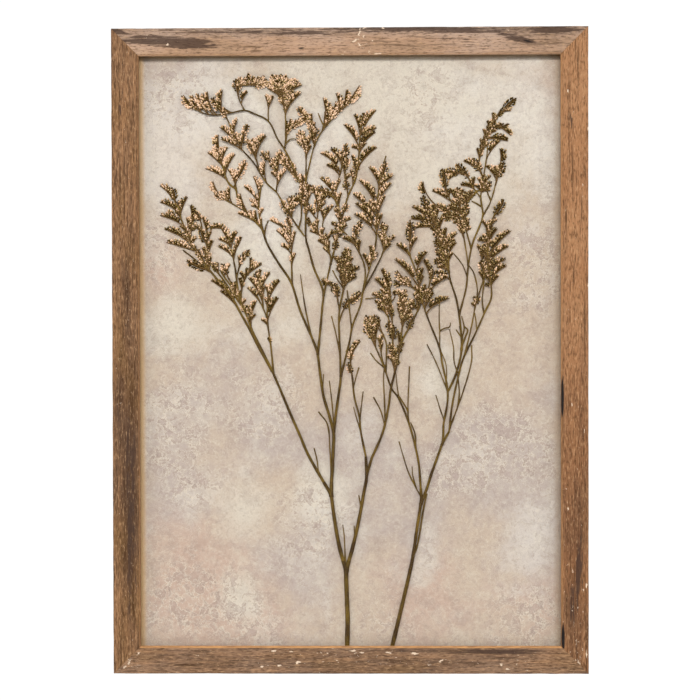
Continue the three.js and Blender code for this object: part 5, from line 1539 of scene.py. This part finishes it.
def branch_arrays(branch, sprays):
    """All bars and florets of one branch as joined arrays: points, faces, masks and face materials."""
    seed = sum((k + 1) * ord(letter) for k, letter in enumerate(branch["name"]))
    rng = np.random.default_rng(seed)
    forward, half = LAYERS[branch["layer"]]
    routes, parts = [], []
    for number, (foot_width, end_width, *points) in enumerate(branch["strands"]):
        route = from_steps(points, sprays.step)
        start = ROOT_DEPTH if branch["grows"] else forward
        if routes:
            route[0], _, start = nearest_on(routes, route[0])
        line = smooth_route(route, ROUTE_PITCH)
        run = np.concatenate([[0], np.cumsum(np.linalg.norm(np.diff(line, axis=0), axis=1))])
        sway = 0.00012 * (wander(run, 0.02, number + 7) - 0.5) * (branch["layer"] != "deep")
        line = np.column_stack([line, start + (forward - start) * eased(run / SETTLE_LENGTH) + sway])
        routes.append(line)
        traced = np.interp(run / run[-1], [0, 1], [foot_width, end_width]) * sprays.step
        width = traced * STRAND_SHARE + STRAND_LEAST
        knotty = 0.14 + 0.6 * max(1 - foot_width / 2, 0)
        swell = knotty * (wander(run, 0.004, number + 3) - 0.5)
        swell = swell + 0.3 * np.exp(-run / 0.0015) * bool(number)
        sides = 8 if foot_width > 1.5 else 6
        surface = bar_surface(line, width * (1 + swell), half, sides)
        pale = wander(run, 0.012, number + 31) + 0.2 * (1 - min(foot_width / 3, 1)) - 0.1
        parts.append(bar_part(surface, 0.0, np.repeat(pale, sides), 0.0, STEM))
    clouds = []
    for foot_x, foot_y, tip_x, tip_y in branch["spikes"]:
        foot = from_steps((foot_x, foot_y), sprays.step)
        near, way, start = nearest_on(routes, foot)
        tip = from_steps((tip_x, tip_y), sprays.step)
        gap = np.linalg.norm(foot - near)
        if gap < SNAP_STEPS * sprays.step:
            foot = near
        back = max(PARTING * np.linalg.norm(tip - foot) - gap, PARTING_OFF * gap)
        low = nearest_on(routes, near - back * way)[0]
        rachis, core, rows = spike_parts(low, foot, tip, way, start, half, branch["age"], sprays, rng)
        parts.append(bar_part(rachis, *RACHIS_LOOK, FLORET))
        parts.append(bar_part(core, *CORE_LOOK, FLORET))
        clouds.append(rows)
    if clouds:
        rows = [np.concatenate(column) for column in zip(*clouds)]
        parts.append(floret_cloud(rows, half, sprays, rng))
    return join_parts(parts)


def join_parts(parts):
    """Joins parts into one set of arrays, with every face's indices moved past the points before it."""
    points = np.vstack([part["points"] for part in parts])
    masks = {key: np.concatenate([part[key] for part in parts]) for key in ("bloom", "tint", "age")}
    faces, choice, start = [], [], 0
    for part in parts:
        for rows in part["faces"]:
            faces.append(rows + start)
            choice.append(np.full(len(rows), part["material"]))
        start += len(part["points"])
    return points, faces, masks, np.concatenate(choice)


def grow(branch, sprays, materials):
    """Makes one branch of a spray, in place of its CAD node."""
    points, faces, masks, choice = branch_arrays(branch, sprays)
    name = branch["name"]
    piece = new_piece("dressed_" + name, points, faces, [name], materials, masks, choice)
    shade_smooth(piece, math.radians(50))


def repaint(node, material):
    """Gives a CAD node a finish in place of its plain colour."""
    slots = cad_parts[node].data.materials
    slots.clear()
    slots.append(material)


class FLOWERFRAME_OT_rails(bpy.types.Operator):
    """Build the four weathered rails in place of the plain ones"""

    bl_idname = "flower_frame.rails"
    bl_label = "Rails"

    def execute(self, context):
        rails = settings()[0]
        wood = weathered_wood(rails)
        for name, turn in RAILS.items():
            points, (quads, ends), uv, raw_and_highlight = rail_surface(name, turn, rails)
            x, z = points[:, 0], points[:, 2]
            near_front = eased(1 - (points[:, 1] + rails.depth) / MARK_DEPTH)
            grey, ruddy, bare = RAIL_TONES[name]
            masks = {
                # Raw wood at the lip's edge, scaled per rail: strongest on the bottom rail as a painted
                # highlight
                "raw_and_highlight": raw_and_highlight * bare,
                "shade": np.clip(marked(name, x, z, BROAD_SHADES, rails.step), -1, 1),
                "grey": np.full(len(x), grey),
                "ruddy": np.full(len(x), ruddy),
            }
            for key, marks in MARKS.items():
                masks[key] = near_front * np.clip(marked(name, x, z, marks, rails.step), 0, 1)
            piece = new_piece("dressed_" + name, points, [quads, ends], [name],
                              [wood], masks, uv=uv)
            shade_smooth(piece, math.radians(35))
        return {"FINISHED"}


class FLOWERFRAME_OT_glass(bpy.types.Operator):
    """Give the pane its clear glass"""

    bl_idname = "flower_frame.glass"
    bl_label = "Glass"

    def execute(self, context):
        repaint("glass", clear_glass())
        return {"FINISHED"}


class FLOWERFRAME_OT_backing(bpy.types.Operator):
    """Give the print, the board and the metal on the back their finishes"""

    bl_idname = "flower_frame.backing"
    bl_label = "Print and backing"

    def execute(self, context):
        _, paper, sprays, _ = settings()
        repaint("printed_paper", plaster_print(paper, sprays.step))
        repaint("backing_board", hardboard())
        zinc = zinc_steel()
        for node in (*TABS, "sawtooth_hanger"):
            repaint(node, zinc)
        return {"FINISHED"}


class FLOWERFRAME_OT_sprays(bpy.types.Operator):
    """Grow both dried sprays, a piece for each branch"""

    bl_idname = "flower_frame.sprays"
    bl_label = "Dried sprays"

    def execute(self, context):
        sprays = settings()[2]
        materials = [dried_stem(sprays), dried_floret(sprays)]
        for branch in BRANCHES:
            grow(branch, sprays, materials)
        return {"FINISHED"}


def soft_light(name, place, aim, size, power):
    """A soft rectangular light that is turned to a point."""
    data = bpy.data.lights.new(name, "AREA")
    data.shape = "RECTANGLE"
    data.size, data.size_y = size
    data.energy = power
    lamp = bpy.data.objects.new(name, data)
    bpy.context.scene.collection.objects.link(lamp)
    lamp.location = place
    x, y, z = np.array(aim) - np.array(place)
    lamp.rotation_euler = (math.atan2(math.hypot(x, y), -z), 0.0, math.atan2(-x, y))


class FLOWERFRAME_OT_stage(bpy.types.Operator):
    """Lay the pale floor and set the lights, the white surroundings and the camera"""

    bl_idname = "flower_frame.stage"
    bl_label = "Stage"

    def execute(self, context):
        stage = settings()[3]
        scene = context.scene
        ground = CAD_BOX[0][2] - stage.floor_drop
        side = np.linspace(-FLOOR_REACH, FLOOR_REACH, FLOOR_POINTS)
        x, y = (grid.ravel() for grid in np.meshgrid(side, side, indexing="ij"))
        mesh = bpy.data.meshes.new("pale_floor")
        first = np.arange(FLOOR_POINTS - 1)
        cell = (first[:, None] * FLOOR_POINTS + first).ravel()
        corners = np.column_stack([cell, cell + FLOOR_POINTS, cell + FLOOR_POINTS + 1, cell + 1])
        points = np.column_stack([x, y, np.full(len(x), ground)])
        mesh.from_pydata(points.tolist(), [], corners.tolist())
        floor = bpy.data.objects.new("pale_floor", mesh)
        scene.collection.objects.link(floor)
        paint = Finish("pale_floor", 0.9)
        mesh.materials.append(paint.paint(stage.floor))
        world = bpy.data.worlds.new("white_surroundings")
        world.use_nodes = True
        scene.world = world
        tree = world.node_tree
        lit = tree.nodes["Background"]
        lit.inputs["Color"].default_value = (1.0, 1.0, 1.0, 1.0)
        lit.inputs["Strength"].default_value = stage.sky
        seen = tree.nodes.new("ShaderNodeBackground")
        seen.inputs["Color"].default_value = (1.0, 1.0, 1.0, 1.0)
        seen.inputs["Strength"].default_value = stage.backdrop
        path = tree.nodes.new("ShaderNodeLightPath")
        blend = tree.nodes.new("ShaderNodeMixShader")
        tree.links.new(path.outputs["Is Camera Ray"], blend.inputs["Fac"])
        tree.links.new(lit.outputs["Background"], blend.inputs[1])
        tree.links.new(seen.outputs["Background"], blend.inputs[2])
        tree.links.new(blend.outputs["Shader"], tree.nodes["World Output"].inputs["Surface"])
        middle = (0.0, 0.0, MIDDLE_UP)
        soft_light("key_light", (-0.25, -3.0, 0.95), middle, (2.0, 0.5), stage.key_power)
        soft_light("left_fill", (-2.2, -1.6, -0.2), middle, (1.2, 1.6), stage.fill_power)
        soft_light("right_fill", (2.2, -1.6, -0.2), middle, (1.2, 1.6), stage.fill_power)
        soft_light("back_light", (0.9, 2.4, 0.9), middle, (1.8, 1.4), 2.0 * stage.fill_power)
        lens = bpy.data.cameras.new("camera")
        lens.lens = stage.lens
        lens.sensor_width = 36.0
        camera = bpy.data.objects.new("camera", lens)
        scene.collection.objects.link(camera)
        camera.location = stage.camera_place
        camera.rotation_euler = stage.camera_turn
        scene.camera = camera
        scene.view_settings.view_transform = "Standard"
        return {"FINISHED"}


OPERATORS = (
    FLOWERFRAME_OT_rails,
    FLOWERFRAME_OT_glass,
    FLOWERFRAME_OT_backing,
    FLOWERFRAME_OT_sprays,
    FLOWERFRAME_OT_stage,
)


class FLOWERFRAME_PT_panel(bpy.types.Panel):
    """Buttons for the pieces of the pressed flower frame"""

    bl_idname = "FLOWERFRAME_PT_panel"
    bl_label = "Pressed flower frame"
    bl_space_type = "VIEW_3D"
    bl_region_type = "UI"
    bl_category = "Pressed flowers"

    def draw(self, context):
        for operator in OPERATORS:
            self.layout.operator(operator.bl_idname)
        for group in settings():
            box = self.layout.box()
            for key in group.__annotations__:
                box.prop(group, key)


SETTINGS = {
    "flower_rails": RailSettings,
    "flower_print": PrintSettings,
    "flower_sprays": SpraySettings,
    "flower_stage": StageSettings,
}


def register():
    """Adds the classes to Blender and the settings to its scenes."""
    for cls in (*SETTINGS.values(), *OPERATORS, FLOWERFRAME_PT_panel):
        bpy.utils.register_class(cls)
    for key, cls in SETTINGS.items():
        setattr(bpy.types.Scene, key, bpy.props.PointerProperty(type=cls))


def unregister():
    """Takes them out again."""
    for key in SETTINGS:
        delattr(bpy.types.Scene, key)
    for cls in (FLOWERFRAME_PT_panel, *reversed(OPERATORS), *reversed(SETTINGS.values())):
        bpy.utils.unregister_class(cls)


def main():
    """Builds every piece in order."""
    register()
    bpy.ops.flower_frame.rails()
    bpy.ops.flower_frame.glass()
    bpy.ops.flower_frame.backing()
    bpy.ops.flower_frame.sprays()
    bpy.ops.flower_frame.stage()
    bpy.context.view_layer.update()


if __name__ == "__main__":
    main()
